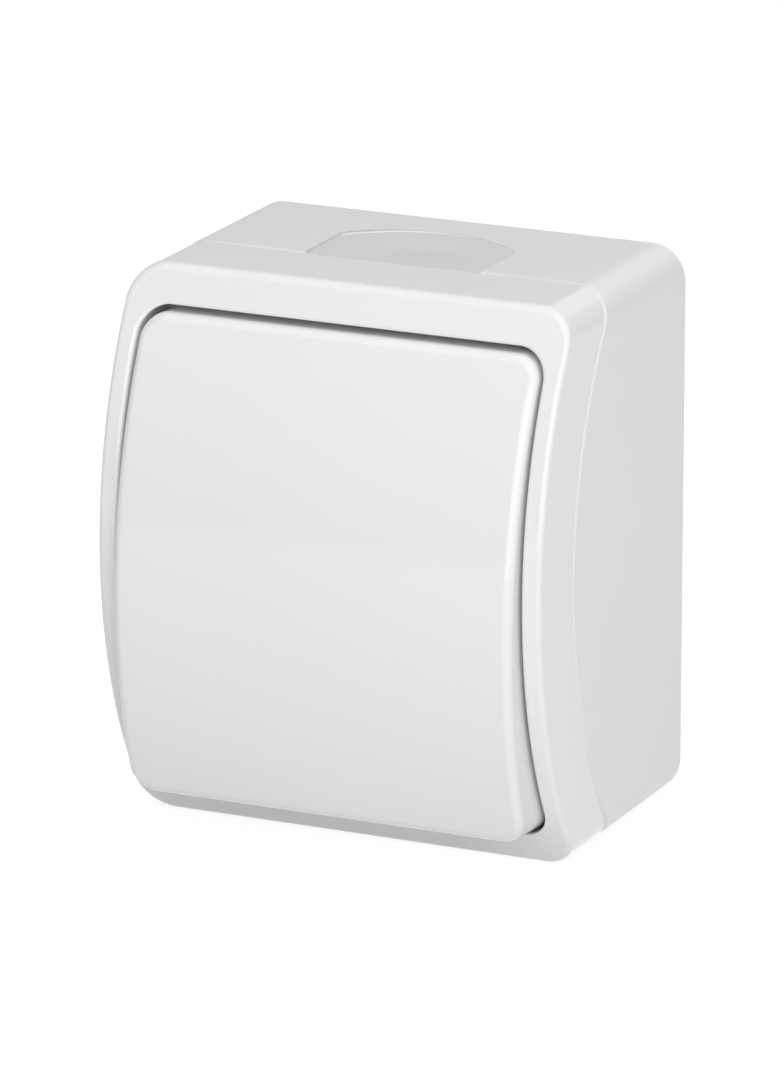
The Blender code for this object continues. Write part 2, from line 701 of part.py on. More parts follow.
def add_key_legs(key, pivot):
    root = bow_depth(PIVOT_DROP, KEY_RADIUS, CRADLE_HEIGHT / 2, 0.0) - KEY_FACE / 2
    hook_front = CRADLE_RISE - SEAT_GAP
    hook_rear = hook_front - KEY_LEG
    for name, side in (("upper", 1), ("lower", -1)):
        inner = CRADLE_HEIGHT / 2 + SEAT_GAP
        leg_z = tuple(sorted((side * inner, side * (inner + KEY_LEG))))
        hook_z = tuple(sorted((side * (inner - SEAT_GAP - KEY_HOOK), side * (inner + KEY_LEG / 2))))
        half = either_side(KEY_LEG_WIDTH / 2)
        join(key, block(f"key_leg_{name}", half, (hook_rear, root), leg_z, 0.0, 1, pivot))
        join(key, block(f"key_hook_{name}", half, (hook_rear, hook_front), hook_z, 0.0, 1, pivot))


def rocker_cradle(pivot):
    """The carrier under the key: a plate, two cheeks with moulded trunnions, and the plunger's guide tube."""
    front = CRADLE_RISE + CRADLE_PLATE
    cradle = block("rocker_cradle", either_side(CRADLE_WIDTH / 2), (CRADLE_RISE, front),
                   either_side(CRADLE_HEIGHT / 2), BLOCK_CORNER, 1, pivot)
    for name, side in (("left", -1), ("right", 1)):
        outer = side * CRADLE_WIDTH / 2
        cheek_x = tuple(sorted((outer, outer - side * CHEEK)))
        join(cradle, block(f"cheek_{name}", cheek_x, (-CHEEK_REACH, CRADLE_RISE + CRADLE_PLATE / 2),
                           either_side(CHEEK_HEIGHT / 2), CHEEK_REACH / 2, 0, pivot))
        pin_x = tuple(sorted((outer - side * CHEEK / 2, outer + side * (SIDE_PLAY + TRUNNION_LENGTH))))
        join(cradle, rod(f"trunnion_{name}", TRUNNION_RADIUS, pin_x, 0.0, 0.0, pivot))
    join(cradle, rod("guide_tube", TUBE_RADIUS, 0.0, (-TUBE_REACH, CRADLE_RISE + CRADLE_PLATE / 2), 0.0, pivot))
    cut(cradle, rod("guide_bore", TUBE_BORE, 0.0, (-2 * TUBE_REACH, front - TUBE_ROOF), 0.0, pivot))
    return cradle


def plunger(pivot):
    """A round-nosed pin in the guide tube, with a spigot for its spring."""
    radius = TUBE_BORE - PLUNGER_PLAY
    shoulder = PLUNGER_SHOULDER - PLUNGER_REACH
    nose = [
        (radius * math.cos(turn), radius * (1 - math.sin(turn)) - PLUNGER_REACH)
        for turn in (math.pi / 2 * n / CORNER_STEPS for n in range(CORNER_STEPS + 1))
    ]
    profile = [(0.0, shoulder + SPIGOT_LENGTH), (SPIGOT_RADIUS, shoulder + SPIGOT_LENGTH),
               (SPIGOT_RADIUS, shoulder), (radius, shoulder)]
    profile += nose[:-1] + [(0.0, -PLUNGER_REACH)]
    return turned("plunger", profile, (0.0, 0.0, 0.0), pivot)


def plunger_spring(pivot):
    """A round-wire coil between the plunger's shoulder and the roof of the guide tube."""
    start = PLUNGER_SHOULDER - PLUNGER_REACH + SPRING_WIRE + SEAT_GAP
    end = CRADLE_RISE + CRADLE_PLATE - TUBE_ROOF - SPRING_WIRE - SEAT_GAP
    coil = (SPIGOT_RADIUS + TUBE_BORE) / 2
    curve = bpy.data.curves.new("plunger_spring", "CURVE")
    curve.dimensions = "3D"
    curve.bevel_depth = SPRING_WIRE
    curve.bevel_resolution = 1
    curve.use_fill_caps = True
    spline = curve.splines.new("POLY")
    steps = SPRING_TURNS * COIL_STEPS
    spline.points.add(steps)
    for n, knot in enumerate(spline.points):
        turn = 2 * math.pi * SPRING_TURNS * n / steps
        out = start + (end - start) * n / steps
        knot.co = (coil * math.cos(turn), -out, coil * math.sin(turn), 1.0)
    spring = bpy.data.objects.new("plunger_spring", curve)
    spring.parent = pivot
    PARTS.objects.link(spring)
    return spring


def contact_rocker(pivot):
    """The see-saw blade, with tabs that rock in the fork of the supply contact."""
    blade = block("contact_rocker", either_side(BLADE_WIDTH / 2), either_side(BLADE_THICK / 2),
                  either_side(BLADE_LENGTH / 2), BLADE_THICK, 1, pivot)
    join(blade, block("blade_tabs", either_side(TAB_WIDTH / 2), either_side(BLADE_THICK / 2),
                      either_side(TAB_HEIGHT / 2), 0.0, 1, pivot))
    return blade


def moving_contact_tip(pivot):
    rear = -MOVING_TIP_DROP
    front = -BLADE_THICK / 2 - SEAT_GAP
    return rod("moving_contact_tip", MOVING_TIP_RADIUS, 0.0, (rear, front), CONTACT_ARM, pivot)


def fixed_contact_tip():
    front = PAD_FRONT + SEAT_GAP + FIXED_TIP_HEIGHT
    return rod("fixed_contact_tip", MOVING_TIP_RADIUS, 0.0, (front - FIXED_TIP_HEIGHT, front),
               PIVOT_Z + CONTACT_ARM)


def terminal_places():
    """Name, side and centre of each terminal: supply at the lower left, load at the upper right."""
    return (("supply", -1, -TERMINAL_X, PIVOT_Z - TERMINAL_Z), ("load", 1, TERMINAL_X, PIVOT_Z + TERMINAL_Z))


def fixed_contact():
    """A pad under the moving tip, stepped down to a tail that lies in the load clamp."""
    z = either_side(STRIP_WIDTH / 2, PIVOT_Z + TERMINAL_Z)
    riser_outer = CHAMBER_WIDTH / 2 - SEAT_GAP
    contact = block("fixed_contact", (-FIXED_PAD_HALF, riser_outer), (PAD_FRONT - STRIP, PAD_FRONT), z)
    join(contact, block("fixed_riser", (riser_outer - STRIP, riser_outer), (STRIP_REAR, PAD_FRONT), z))
    join(contact, block("fixed_tail", (riser_outer - STRIP, TERMINAL_X + STRIP_WIDTH / 2),
                        (STRIP_REAR, STRIP_FRONT), z))
    return contact


def common_contact():
    """A strip with two upright cheeks whose notches hold the blade, and a tail that lies in the supply clamp."""
    half = FORK_X + STRIP
    low = PIVOT_Z - TERMINAL_Z - STRIP_WIDTH / 2
    contact = block("common_contact", either_side(half), (STRIP_REAR, STRIP_FRONT),
                    (low, PIVOT_Z + FORK_HEIGHT / 2))
    join(contact, block("common_tail", (-TERMINAL_X - STRIP_WIDTH / 2, -half + STRIP), (STRIP_REAR, STRIP_FRONT),
                        (low, low + STRIP_WIDTH)))
    for name, side in (("left", -1), ("right", 1)):
        x = tuple(sorted((side * FORK_X, side * half)))
        join(contact, block(f"fork_{name}", x, (STRIP_REAR, BLADE_DEPTH + FORK_REACH),
                            either_side(FORK_HEIGHT / 2, PIVOT_Z)))
    notch_floor = BLADE_DEPTH - BLADE_THICK / 2 - 2 * SEAT_GAP
    cut(contact, block("fork_notch", either_side(half * 2), (notch_floor, BLADE_DEPTH + 2 * FORK_REACH),
                       either_side(TAB_HEIGHT / 2 + 2 * SEAT_GAP, PIVOT_Z)))
    return contact


def clamp(name, x, z):
    """A brass cage open at top and bottom, that the tail of a contact passes through."""
    cage = block(f"{name}_clamp", either_side(CLAMP_WIDTH / 2, x), (CLAMP_REAR, CLAMP_FRONT),
                 either_side(CLAMP_HEIGHT / 2, z))
    cut(cage, block(f"{name}_mouth", either_side(CLAMP_WIDTH / 2 - CLAMP_WALL, x),
                    (CLAMP_REAR + CLAMP_WALL, CLAMP_FRONT - CLAMP_WALL), either_side(CLAMP_HEIGHT, z), 0.0))
    cut(cage, block(f"{name}_tail_way", tuple(sorted((0.0, x))), (STRIP_REAR - SEAT_GAP, STRIP_FRONT + SEAT_GAP),
                    either_side(STRIP_WIDTH / 2 + SEAT_GAP, z), 0.0))
    cut(cage, rod(f"{name}_thread", CLAMP_SCREW_RADIUS + PIN_PLAY, x,
                  (CLAMP_FRONT - 2 * CLAMP_WALL, CLAMP_FRONT + CLAMP_WALL), z))
    return cage


def slotted_screw(name, radius, head_radius, x, z, seat, length):
    """A pan-headed screw along the depth, whose head rests on its seat, with one slot across the head."""
    under = seat + SEAT_GAP
    edge = SCREW_HEAD / 4
    profile = [
        (0.0, SCREW_HEAD), (head_radius - edge, SCREW_HEAD), (head_radius, SCREW_HEAD - edge), (head_radius, 0.0),
        (radius, 0.0), (radius, radius / 2 - length), (radius / 2, -length), (0.0, -length),
    ]
    screw = turned(name, profile, point(x, under, z))
    top = under + SCREW_HEAD
    cut(screw, block(f"{name}_slot", either_side(head_radius * WELL_PAST, x),
                     (top - SLOT_DEPTH, top + SCREW_HEAD), either_side(SLOT_WIDTH / 2, z)))
    return screw


def mechanism_base():
    """The block behind the strap, with a chamber for the contacts and a pocket for each clamp."""
    base = block("mechanism_base", either_side(BASE_WIDTH / 2), (BASE_REAR, BASE_FRONT),
                 either_side(BLOCK_HEIGHT / 2, PIVOT_Z), BLOCK_CORNER)
    front = BASE_FRONT + BASE_THICK
    cut(base, block("chamber", either_side(CHAMBER_WIDTH / 2), (CHAMBER_FLOOR, front),
                    either_side(CHAMBER_HEIGHT / 2, PIVOT_Z)))
    for name, side, x, z in terminal_places():
        pocket_half = CLAMP_HEIGHT / 2 + SEAT_GAP
        cut(base, block(f"{name}_pocket", either_side(CLAMP_WIDTH / 2 + SEAT_GAP, x),
                        (CLAMP_REAR - SEAT_GAP, front), either_side(pocket_half, z)))
        cut(base, block(f"{name}_tail_slot", tuple(sorted((side * CHAMBER_WIDTH / 4, x))),
                        (CHAMBER_FLOOR, front), either_side(STRIP_WIDTH / 2 + SEAT_GAP, z)))
        outside = PIVOT_Z + side * BLOCK_HEIGHT
        cut(base, rod(f"{name}_wire_hole", WIRE_HOLE_RADIUS, x, CLAMP_REAR + CLAMP_WALL + WIRE_HOLE_RADIUS,
                      tuple(sorted((z, outside)))))
    for name, side in (("upper", 1), ("lower", -1)):
        catch = PIVOT_Z + side * BLOCK_HEIGHT / 2
        inner = catch - side * (HOOK_NIB + SEAT_GAP)
        cut(base, block(f"hook_recess_{name}", either_side(HOOK_WIDTH / 2 + SEAT_GAP),
                        (BASE_FRONT - HOOK_REACH - HOOK_THICK - SEAT_GAP, BASE_FRONT - HOOK_REACH + SEAT_GAP),
                        tuple(sorted((inner, catch + side * HOOK_THICK)))))
    return base


def mechanism_housing():
    """The block in front of the strap, with bearing ears for the cradle and hooks that hold the base."""
    housing = block("mechanism_housing", either_side(HOUSING_WIDTH / 2), (HOUSING_REAR, HOUSING_FRONT),
                    either_side(BLOCK_HEIGHT / 2, PIVOT_Z), BLOCK_CORNER)
    for name, side in (("left", -1), ("right", 1)):
        x = tuple(sorted((side * EAR_X, side * (EAR_X + EAR))))
        join(housing, block(f"ear_{name}", x, (HOUSING_FRONT - HOUSING_ROOF / 2, PIVOT_DEPTH + EAR_OVER_PIVOT),
                            either_side(EAR_HEIGHT / 2, PIVOT_Z), BLOCK_CORNER, 0))
    bearing = TRUNNION_RADIUS + PIN_PLAY
    wide = either_side(HOUSING_WIDTH / 2)
    cut(housing, rod("bearing_bore", bearing, wide, PIVOT_DEPTH, PIVOT_Z))
    cut(housing, block("bearing_mouth", wide, (PIVOT_DEPTH, PIVOT_DEPTH + 2 * EAR_OVER_PIVOT),
                       either_side(bearing * SNAP_MOUTH, PIVOT_Z)))
    cut(housing, block("blade_room", either_side(CHAMBER_WIDTH / 2), (0.0, HOUSING_FRONT - HOUSING_ROOF),
                       either_side(CHAMBER_HEIGHT / 2, PIVOT_Z)))
    cut(housing, rod("plunger_way", PLUNGER_HOLE_RADIUS, 0.0, (HOUSING_REAR, HOUSING_FRONT + HOUSING_ROOF),
                     PIVOT_Z))
    for name, side, x, z in terminal_places():
        cut(housing, rod(f"{name}_access", ACCESS_HOLE_RADIUS, x, (0.0, HOUSING_FRONT + HOUSING_ROOF), z))
    for name, side in (("upper", 1), ("lower", -1)):
        edge = PIVOT_Z + side * BLOCK_HEIGHT / 2
        inner = edge + side * SEAT_GAP
        outer = inner + side * HOOK_THICK
        half = either_side(HOOK_WIDTH / 2)
        nib_front = BASE_FRONT - HOOK_REACH
        join(housing, block(f"hook_root_{name}", half, (HOUSING_REAR, HOUSING_FRONT),
                            tuple(sorted((edge - side * HOOK_THICK, outer)))))
        join(housing, block(f"hook_leg_{name}", half, (nib_front - HOOK_THICK, HOUSING_FRONT - HOUSING_ROOF),
                            tuple(sorted((inner, outer)))))
        join(housing, block(f"hook_nib_{name}", half, (nib_front - HOOK_THICK, nib_front),
                            tuple(sorted((edge - side * HOOK_NIB, outer - side * HOOK_THICK / 2)))))
    return housing


def mounting_strap():
    """The steel plate between the two blocks, screwed to posts of the box at both ends."""
    strap = block("mounting_strap", either_side(STRAP_WIDTH / 2), (STRAP_REAR, STRAP_FRONT),
                  either_side(STRAP_HEIGHT / 2, PIVOT_Z), STRAP_CORNER)
    depth = (STRAP_REAR - STRAP, STRAP_FRONT + STRAP)
    cut(strap, block("strap_opening", either_side(STRAP_OPENING_WIDTH / 2), depth,
                     either_side(STRAP_OPENING_HEIGHT / 2, PIVOT_Z), BLOCK_CORNER))
    for name, x in (("left", -STRAP_SCREW_X), ("right", STRAP_SCREW_X)):
        cut(strap, rod(f"strap_hole_{name}", SCREW_RADIUS + PIN_PLAY, x, depth, PIVOT_Z))
    return strap


def splash_boot():
    """The soft collar that closes the space between the housing and the frame's floor."""
    half_x, half_z = boot_inside()
    outer_x = half_x + BOOT_WALL
    outer_z = half_z + BOOT_WALL
    boot = block("splash_boot", either_side(outer_x), (HOUSING_FRONT + SEAT_GAP, PARTING_CROWN),
                 either_side(outer_z, PIVOT_Z), BLOCK_CORNER + BOOT_WALL)
    keep_inside(boot, parting_drum("boot_front"))
    cut(boot, block("boot_hole", either_side(half_x), (BACK, FRONT_CROWN), either_side(half_z, PIVOT_Z),
                    BLOCK_CORNER))
    return boot


def screws():
    for name, x, z in frame_screw_places():
        slotted_screw(f"frame_screw_{name}", SCREW_RADIUS, SCREW_HEAD_RADIUS, x, z, frame_seat_depth(z),
                      SCREW_LENGTH)
    for name, x in (("left", -STRAP_SCREW_X), ("right", STRAP_SCREW_X)):
        slotted_screw(f"strap_screw_{name}", SCREW_RADIUS, STRAP_SCREW_HEAD_RADIUS, x, PIVOT_Z, STRAP_FRONT,
                      STRAP_SCREW_LENGTH)
    for name, side, x, z in terminal_places():
        slotted_screw(f"{name}_screw", CLAMP_SCREW_RADIUS, CLAMP_SCREW_HEAD_RADIUS, x, z, CLAMP_FRONT,
                      CLAMP_FRONT - STRIP_FRONT)


def paint(names, material):
    for name in names:
        made = bpy.data.objects[name]
        made.data.materials.clear()
        made.data.materials.append(material)


def colour_parts():
    paint(("rear_box", "front_frame", "rocker_key"), new_material("white plastic", (0.87, 0.87, 0.86), 0.25))
    paint(("cable_gland",), new_material("soft grey-white plastic", (0.74, 0.74, 0.73), 0.55))
    paint(("frame_gasket", "splash_boot"), new_material("grey rubber", (0.30, 0.30, 0.31), 0.70))
    paint(("rocker_cradle",), new_material("ivory plastic", (0.80, 0.77, 0.68), 0.40))
    paint(("mechanism_base", "mechanism_housing"), new_material("thermoset", (0.62, 0.61, 0.58), 0.50))
    paint(("mounting_strap",), new_material("plated steel", (0.62, 0.62, 0.63), 0.35, 1.0))
    paint(("fixed_contact", "common_contact", "contact_rocker", "supply_clamp", "load_clamp"),
          new_material("brass", (0.78, 0.58, 0.27), 0.30, 1.0))
    paint(("moving_contact_tip", "fixed_contact_tip"), new_material("silver", (0.86, 0.85, 0.83), 0.25, 1.0))
    screw_names = [f"{owner}_screw" for owner in ("supply", "load")]
    screw_names += [f"frame_screw_{place}" for place in ("upper", "lower")]
    screw_names += [f"strap_screw_{place}" for place in ("left", "right")]
    paint(["plunger", "plunger_spring"] + screw_names, new_material("bright steel", (0.55, 0.55, 0.56), 0.30, 1.0))


clear_scene()
PARTS = new_collection("single_pole_switch")
CUTTERS = new_collection("cutters")
CUTTERS.hide_render = True

rear_box()
front_frame()
frame_gasket()
cable_gland()
key_pivot = add_pivot("key_pivot", point(0.0, PIVOT_DEPTH, PIVOT_Z), REST_TILT)
rocker_key(key_pivot)
rocker_cradle(key_pivot)
plunger(key_pivot)
plunger_spring(key_pivot)
blade_pivot = add_pivot("blade_pivot", point(0.0, BLADE_DEPTH, PIVOT_Z), BLADE_TILT)
contact_rocker(blade_pivot)
moving_contact_tip(blade_pivot)
fixed_contact_tip()
fixed_contact()
common_contact()
for terminal, _, terminal_x, terminal_z in terminal_places():
    clamp(terminal, terminal_x, terminal_z)
mechanism_base()
mechanism_housing()
mounting_strap()
splash_boot()
screws()
colour_parts()
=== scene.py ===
import json
import math

import bmesh
import bpy
from bpy.props import FloatProperty, FloatVectorProperty, PointerProperty
from bpy.types import Operator, Panel, PropertyGroup
from mathutils import Matrix, Vector


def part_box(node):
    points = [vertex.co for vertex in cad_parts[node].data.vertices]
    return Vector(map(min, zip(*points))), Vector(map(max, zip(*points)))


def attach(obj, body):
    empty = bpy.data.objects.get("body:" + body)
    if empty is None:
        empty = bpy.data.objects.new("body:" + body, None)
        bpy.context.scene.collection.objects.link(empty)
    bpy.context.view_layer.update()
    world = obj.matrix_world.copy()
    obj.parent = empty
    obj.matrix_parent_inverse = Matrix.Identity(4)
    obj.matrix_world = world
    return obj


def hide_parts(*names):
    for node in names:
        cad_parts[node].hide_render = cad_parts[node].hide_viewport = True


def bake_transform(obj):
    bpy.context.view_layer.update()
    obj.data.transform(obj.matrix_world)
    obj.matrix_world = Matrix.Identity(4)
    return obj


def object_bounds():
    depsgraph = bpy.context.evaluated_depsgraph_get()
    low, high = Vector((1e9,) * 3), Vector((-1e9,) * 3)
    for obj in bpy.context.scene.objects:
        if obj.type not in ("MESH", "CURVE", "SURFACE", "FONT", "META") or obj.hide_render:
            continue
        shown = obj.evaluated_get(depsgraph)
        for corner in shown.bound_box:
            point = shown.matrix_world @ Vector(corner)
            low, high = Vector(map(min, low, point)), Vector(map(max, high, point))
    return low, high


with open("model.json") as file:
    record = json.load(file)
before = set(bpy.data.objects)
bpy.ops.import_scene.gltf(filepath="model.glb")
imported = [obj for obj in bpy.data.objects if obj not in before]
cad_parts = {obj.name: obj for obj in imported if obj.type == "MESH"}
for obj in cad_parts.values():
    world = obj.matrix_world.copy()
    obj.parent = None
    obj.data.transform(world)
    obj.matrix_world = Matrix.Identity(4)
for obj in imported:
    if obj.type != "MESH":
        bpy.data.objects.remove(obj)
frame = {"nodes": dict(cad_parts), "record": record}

CAD_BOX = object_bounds()
CASING_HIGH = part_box("rear_box")[1]

bl_info = {
    "name": "Surface-mounted rocker switch",
    "version": (1, 0, 0),
    "blender": (4, 5, 0),
    "location": "3D View > Sidebar > Switch",
    "description": "Dresses the packed switch in finely modelled pieces with procedural finishes",
    "category": "Object",
}

# Clearances and walls that the hidden features share. All lengths are in metres
GAP = 0.00025
PIN_PLAY = 0.00025
LIP = 0.0011
REBATE = 0.0030
TONGUE = 0.0016
GLAND_FIT = 0.00001

# Hidden features of the box and frame
STRAP_SEAT = 0.0270
STRAP_SCREW_X = 0.0275
POST_RADIUS = 0.0036
POST_RIB = 0.0014
SCREW_RADIUS = 0.00175
SCREW_LENGTH = 0.0120
HEAD_OVERHANG = 0.00145
FRAME_SCREWS = ((-0.0245, 0.0280), (0.0245, -0.0280))
FRAME_SEAT = 0.0020
SEAT_POCKET = 0.0037
BOSS_WALL = 0.0012
FIXING_Z = 0.0300
FIXING_HALF_LENGTH = 0.0050
FIXING_HALF_WIDTH = 0.0025
FIXING_ROUNDNESS = 0.98
PAD_MARGIN = 0.0020
PAD_RISE = 0.0010
KNOCKOUT_RADIUS = 0.0080
KNOCKOUT_DEPTH_PLACE = 0.0160
KNOCKOUT_SKIN = 0.0010
CORE_SLOT = 0.0015
CORE_HALF_WIDTH = 0.0260
RAIL_FACE = 0.0024
OPENING_HALF_WIDTH = 0.01605
OPENING_HALF_HEIGHT = 0.0143
OPENING_CORNER = 0.0012

# Hidden features of the key, measured from its pivot
KEY_SKIRT_CROWN = 0.00175
KEY_SKIRT_RADIUS = 0.07255
KEY_RIB = 0.0012
KEY_RIB_X = 0.0180
KEY_RIB_HEIGHT = 0.0025
KEY_LEG_HALF_WIDTH = 0.0040
KEY_LEG = 0.0014
KEY_HOOK = 0.0009
CRADLE_HALF_WIDTH = 0.0102
CRADLE_HALF_HEIGHT = 0.0150
CRADLE_RISE = 0.0030
CRADLE_FRONT = 0.0050

# Hidden features of the gland
GLAND_SKIN = 0.00065
GLAND_LEDGE = 0.0012
GLAND_FLANGE = 0.0012
GLAND_GRIP = 0.0006
MEMBRANE_RADIUS = 0.0062
MEMBRANE = 0.0008

# Shares of the gland's width and depth that its dish takes
DISH_WIDE = 0.82
DISH_DEEP = 0.42

# Plunger and spring, measured from the key's pivot
PLUNGER_RADIUS = 0.0020
PLUNGER_TIP = -0.01675
PLUNGER_SHOULDER = -0.00575
SPIGOT_RADIUS = 0.0009
SPIGOT_LENGTH = 0.0012
SPRING_WIRE = 0.00025
SPRING_COIL = 0.00155
SPRING_ENDS = (-0.00525, 0.0020)
SPRING_TURNS = 5

# Screws. Side is the upright share of a head, and foot the share of its pitch that a thread takes
SCREW_HEAD = 0.0020
HEAD_SIDE = 0.45
SLOT_WIDTH = 0.0008
SLOT_DEPTH = 0.0009
THREAD_HEIGHT = 0.00025
THREAD_PITCH = 0.0008
THREAD_FOOT = 0.9

# Soft lights: angle to the right of the front, angle above the floor, distance, width and height
MAIN_LIGHT = (math.radians(35.0), math.radians(18.0), 0.80, 1.20, 0.60)
TOP_LIGHT = (math.radians(0.0), math.radians(84.0), 0.75, 0.90, 0.90)
REAR_LIGHT = (math.radians(178.0), math.radians(32.0), 0.75, 0.40, 0.34)

# Camera: its place, the point it looks at, and its focal length and film width in millimetres
CAMERA_PLACE = (0.46845, -1.04189, 0.33097)
CAMERA_TARGET = (-0.001145, -0.024653, 0.000300)
CAMERA_LENS = 265.6
CAMERA_FILM = 36.0
CAMERA_REACH = 20.0

# Floor: half its width, its cells each way, and the share of its colour that is seen
FLOOR_HALF = 4.0
FLOOR_CELLS = 8
FLOOR_SEEN = 0.65

# Fineness of the meshes, tolerances, and the angles past which an edge is shaded sharp
CORNER_SEGMENTS = 14
STRIPS = 64
TURN_STEPS = 6
SUPPORT = 0.00025
ROUND_SEGMENTS = 64
WIRE_SEGMENTS = 16
ARC_SEGMENTS = 360
EDGE_SEGMENTS = 3
DISH_COLUMNS = 18
DISH_ROWS = 24
NEAR = 1e-6
TOUCH = 1e-7
SHARP = math.radians(35.0)
GLAND_SHARP = math.radians(10.0)


def length(name, description, default):
    return FloatProperty(name=name, description=description, default=default, min=0.0, unit="LENGTH",
                         precision=5)


def colour(name, description, default):
    return FloatVectorProperty(name=name, description=description, default=default, size=3, min=0.0,
                               max=1.0, subtype="COLOR")


def power(name, description, default):
    return FloatProperty(name=name, description=description, default=default, min=0.0, unit="POWER")


def strength(name, description, default):
    return FloatProperty(name=name, description=description, default=default, min=0.0)


class CasingSizes(PropertyGroup):
    """Sizes of the wall box."""

    half_width: length("Half width", "Half the width of the box", CASING_HIGH.x)
    half_height: length("Half height", "Half the height of the box", CASING_HIGH.z)
    corner: length("Corner", "Radius of the box's long corners", 0.0054)
    wall: length("Wall", "Thickness of the side walls", 0.0022)
    back: length("Back", "Thickness of the back", 0.0025)
    crown: length("Parting crown", "How far out the seam stands at its highest", 0.0417)
    radius: length("Parting radius", "Radius of the bowed seam", 0.0665)
    bow_height: length("Bow height", "Height of the crown above the middle", 0.00125)
    back_edge: length("Back edge", "Rounding of the edge against the wall", 0.0004)
    seam_edge: length("Seam edge", "Chamfer of the box's rim at the seam", 0.00065)
    inner_edge: length("Inner edge", "Rounding at the foot of the walls inside", 0.0006)


class FrameSizes(PropertyGroup):
    """Sizes of the bowed front frame."""

    crown: length("Front crown", "How far out the frame stands at its highest", 0.0535)
    radius: length("Front radius", "Radius of the frame's bow", 0.0730)
    edge: length("Edge rounding", "Rounding of the outer front edge", 0.0008)
    side_rail: length("Side rail", "Width of the two side rails", 0.0030)
    top_rail: length("Top rail", "Width of the top rail", 0.0055)
    bottom_rail: length("Bottom rail", "Width of the bottom rail", 0.0051)
    window_corner: length("Window corner", "Corner radius of the window", 0.0046)
    window_edge: length("Window edge", "Rounding of the window's front edge", 0.0006)
    floor: length("Floor", "Thickness of the floor behind the key", 0.0020)


class KeySizes(PropertyGroup):
    """Sizes of the rocking key."""

    side_gap: length("Side gap", "Gap to the window at the sides", 0.00065)
    end_gap: length("End gap", "Gap to the window at top and bottom", 0.0009)
    pivot_drop: length("Pivot drop", "Depth of the pivot behind the key's crown", 0.0100)
    proud: length("Proud", "How far the key's crown stands in front of the frame's", 0.0025)
    radius: length("Radius", "Radius of the key's convex face", 0.0845)
    edge: length("Edge rounding", "Rounding of the key's front edge", 0.0012)
    face: length("Face", "Thickness of the face", 0.0022)
    wall: length("Wall", "Thickness of the key's sides", 0.0016)
    tilt: FloatProperty(name="Tilt", description="Turn of the key at rest, with its top pressed in",
                        default=math.radians(-4.0), subtype="ANGLE")


class GlandSizes(PropertyGroup):
    """Sizes of the soft cable entry."""

    half_width: length("Half width", "Half the width of the gland", 0.0141)
    shoulder: length("Shoulder", "Depth at which the straight sides end", 0.0142)
    apex: length("Apex", "Depth of the rear arc's nearest point to the wall", 0.0078)
    recess: length("Recess", "How far the middle of the gland lies below the top face", 0.00022)
    lean: length("Lean", "How much deeper its left end sits, and how much higher its right end", 0.00014)
    edge: length("Edge rounding", "Rounding of the gland's edge", 0.00002)
    dish_depth: length("Dish depth", "Depth of the shallow dish", 0.00060)
    notch_edge: length("Notch edge", "Chamfer of the notch in the box, widest at its left", 0.00022)


class FinishColours(PropertyGroup):
    """Colours of the finishes."""

    gloss: colour("Gloss plastic", "Colour of the frame and key", (0.885, 0.885, 0.88))
    casing: colour("Casing plastic", "Colour of the wall box", (0.865, 0.865, 0.86))
    gland: colour("Gland", "Colour of the soft gland", (0.78, 0.78, 0.77))
    rubber: colour("Rubber", "Colour of the seals", (0.30, 0.30, 0.31))
    ivory: colour("Ivory", "Colour of the cradle", (0.80, 0.77, 0.68))
    thermoset: colour("Thermoset", "Colour of the insulating blocks", (0.62, 0.61, 0.58))
    strap: colour("Plated strap", "Colour of the plated steel strap", (0.62, 0.62, 0.63))
    steel: colour("Steel", "Colour of the screws and spring", (0.55, 0.55, 0.56))
    brass: colour("Brass", "Colour of the contacts and clamps", (0.78, 0.58, 0.27))
    silver: colour("Silver", "Colour of the contact tips", (0.86, 0.85, 0.83))


class StudioSettings(PropertyGroup):
    """Light and floor of the studio."""

    main_power: power("Main light", "Power of the soft light from the front right", 4.7)
    top_power: power("Top light", "Power of the soft light from above", 2.7)
    rear_power: power("Rear light", "Power of the small light behind, for the long upper edges", 0.25)
    world: strength("World", "Strength of the even light from all sides", 0.25)
    floor: colour("Floor", "Colour of the floor", (0.64, 0.64, 0.64))
    floor_glow: strength("Floor glow", "Light that the floor adds to what is seen of it", 0.80)
    floor_shine: strength("Floor shine", "Further light that reflections of the floor show", 0.20)
    room_shine: strength("Room shine", "Strength of the room that reflections show", 0.55)


def settings(group):
    return getattr(bpy.context.scene, f"switch_{group}")


class Bow:
    """A surface upright across the body: flat, or bowed about X with its crown at one height."""

    def __init__(self, crown, radius=None, height=0.0):
        self.crown, self.radius, self.height = crown, radius, height

    def depth(self, z):
        if self.radius is None:
            return self.crown
        return self.crown - self.radius + math.sqrt(self.radius ** 2 - (z - self.height) ** 2)

    def offset(self, out):
        return Bow(self.crown + out, None if self.radius is None else self.radius + out, self.height)


class Outline:
    """An upright rectangle with rounded corners."""

    def __init__(self, half_width, low, high, corner):
        self.half_width, self.low, self.high, self.corner = half_width, low, high, corner

    def inset(self, by):
        return Outline(self.half_width - by, self.low + by, self.high - by, self.corner - by)

    def place(self, co, old, bow):
        """Where a point of an old outline lies on this one."""
        reach = old.half_width - old.corner
        core = Vector((min(max(co.x, -reach), reach), 0.0,
                       min(max(co.z, old.low + old.corner), old.high - old.corner)))
        away = Vector((co.x - core.x, 0.0, co.z - core.z)).normalized()
        share = (core.z - old.low - old.corner) / (old.high - old.low - 2 * old.corner)
        straight = self.high - self.low - 2 * self.corner
        z = self.low + self.corner + share * straight + away.z * self.corner
        x = core.x / reach * (self.half_width - self.corner) + away.x * self.corner
        return Vector((x, -bow.depth(z), z))


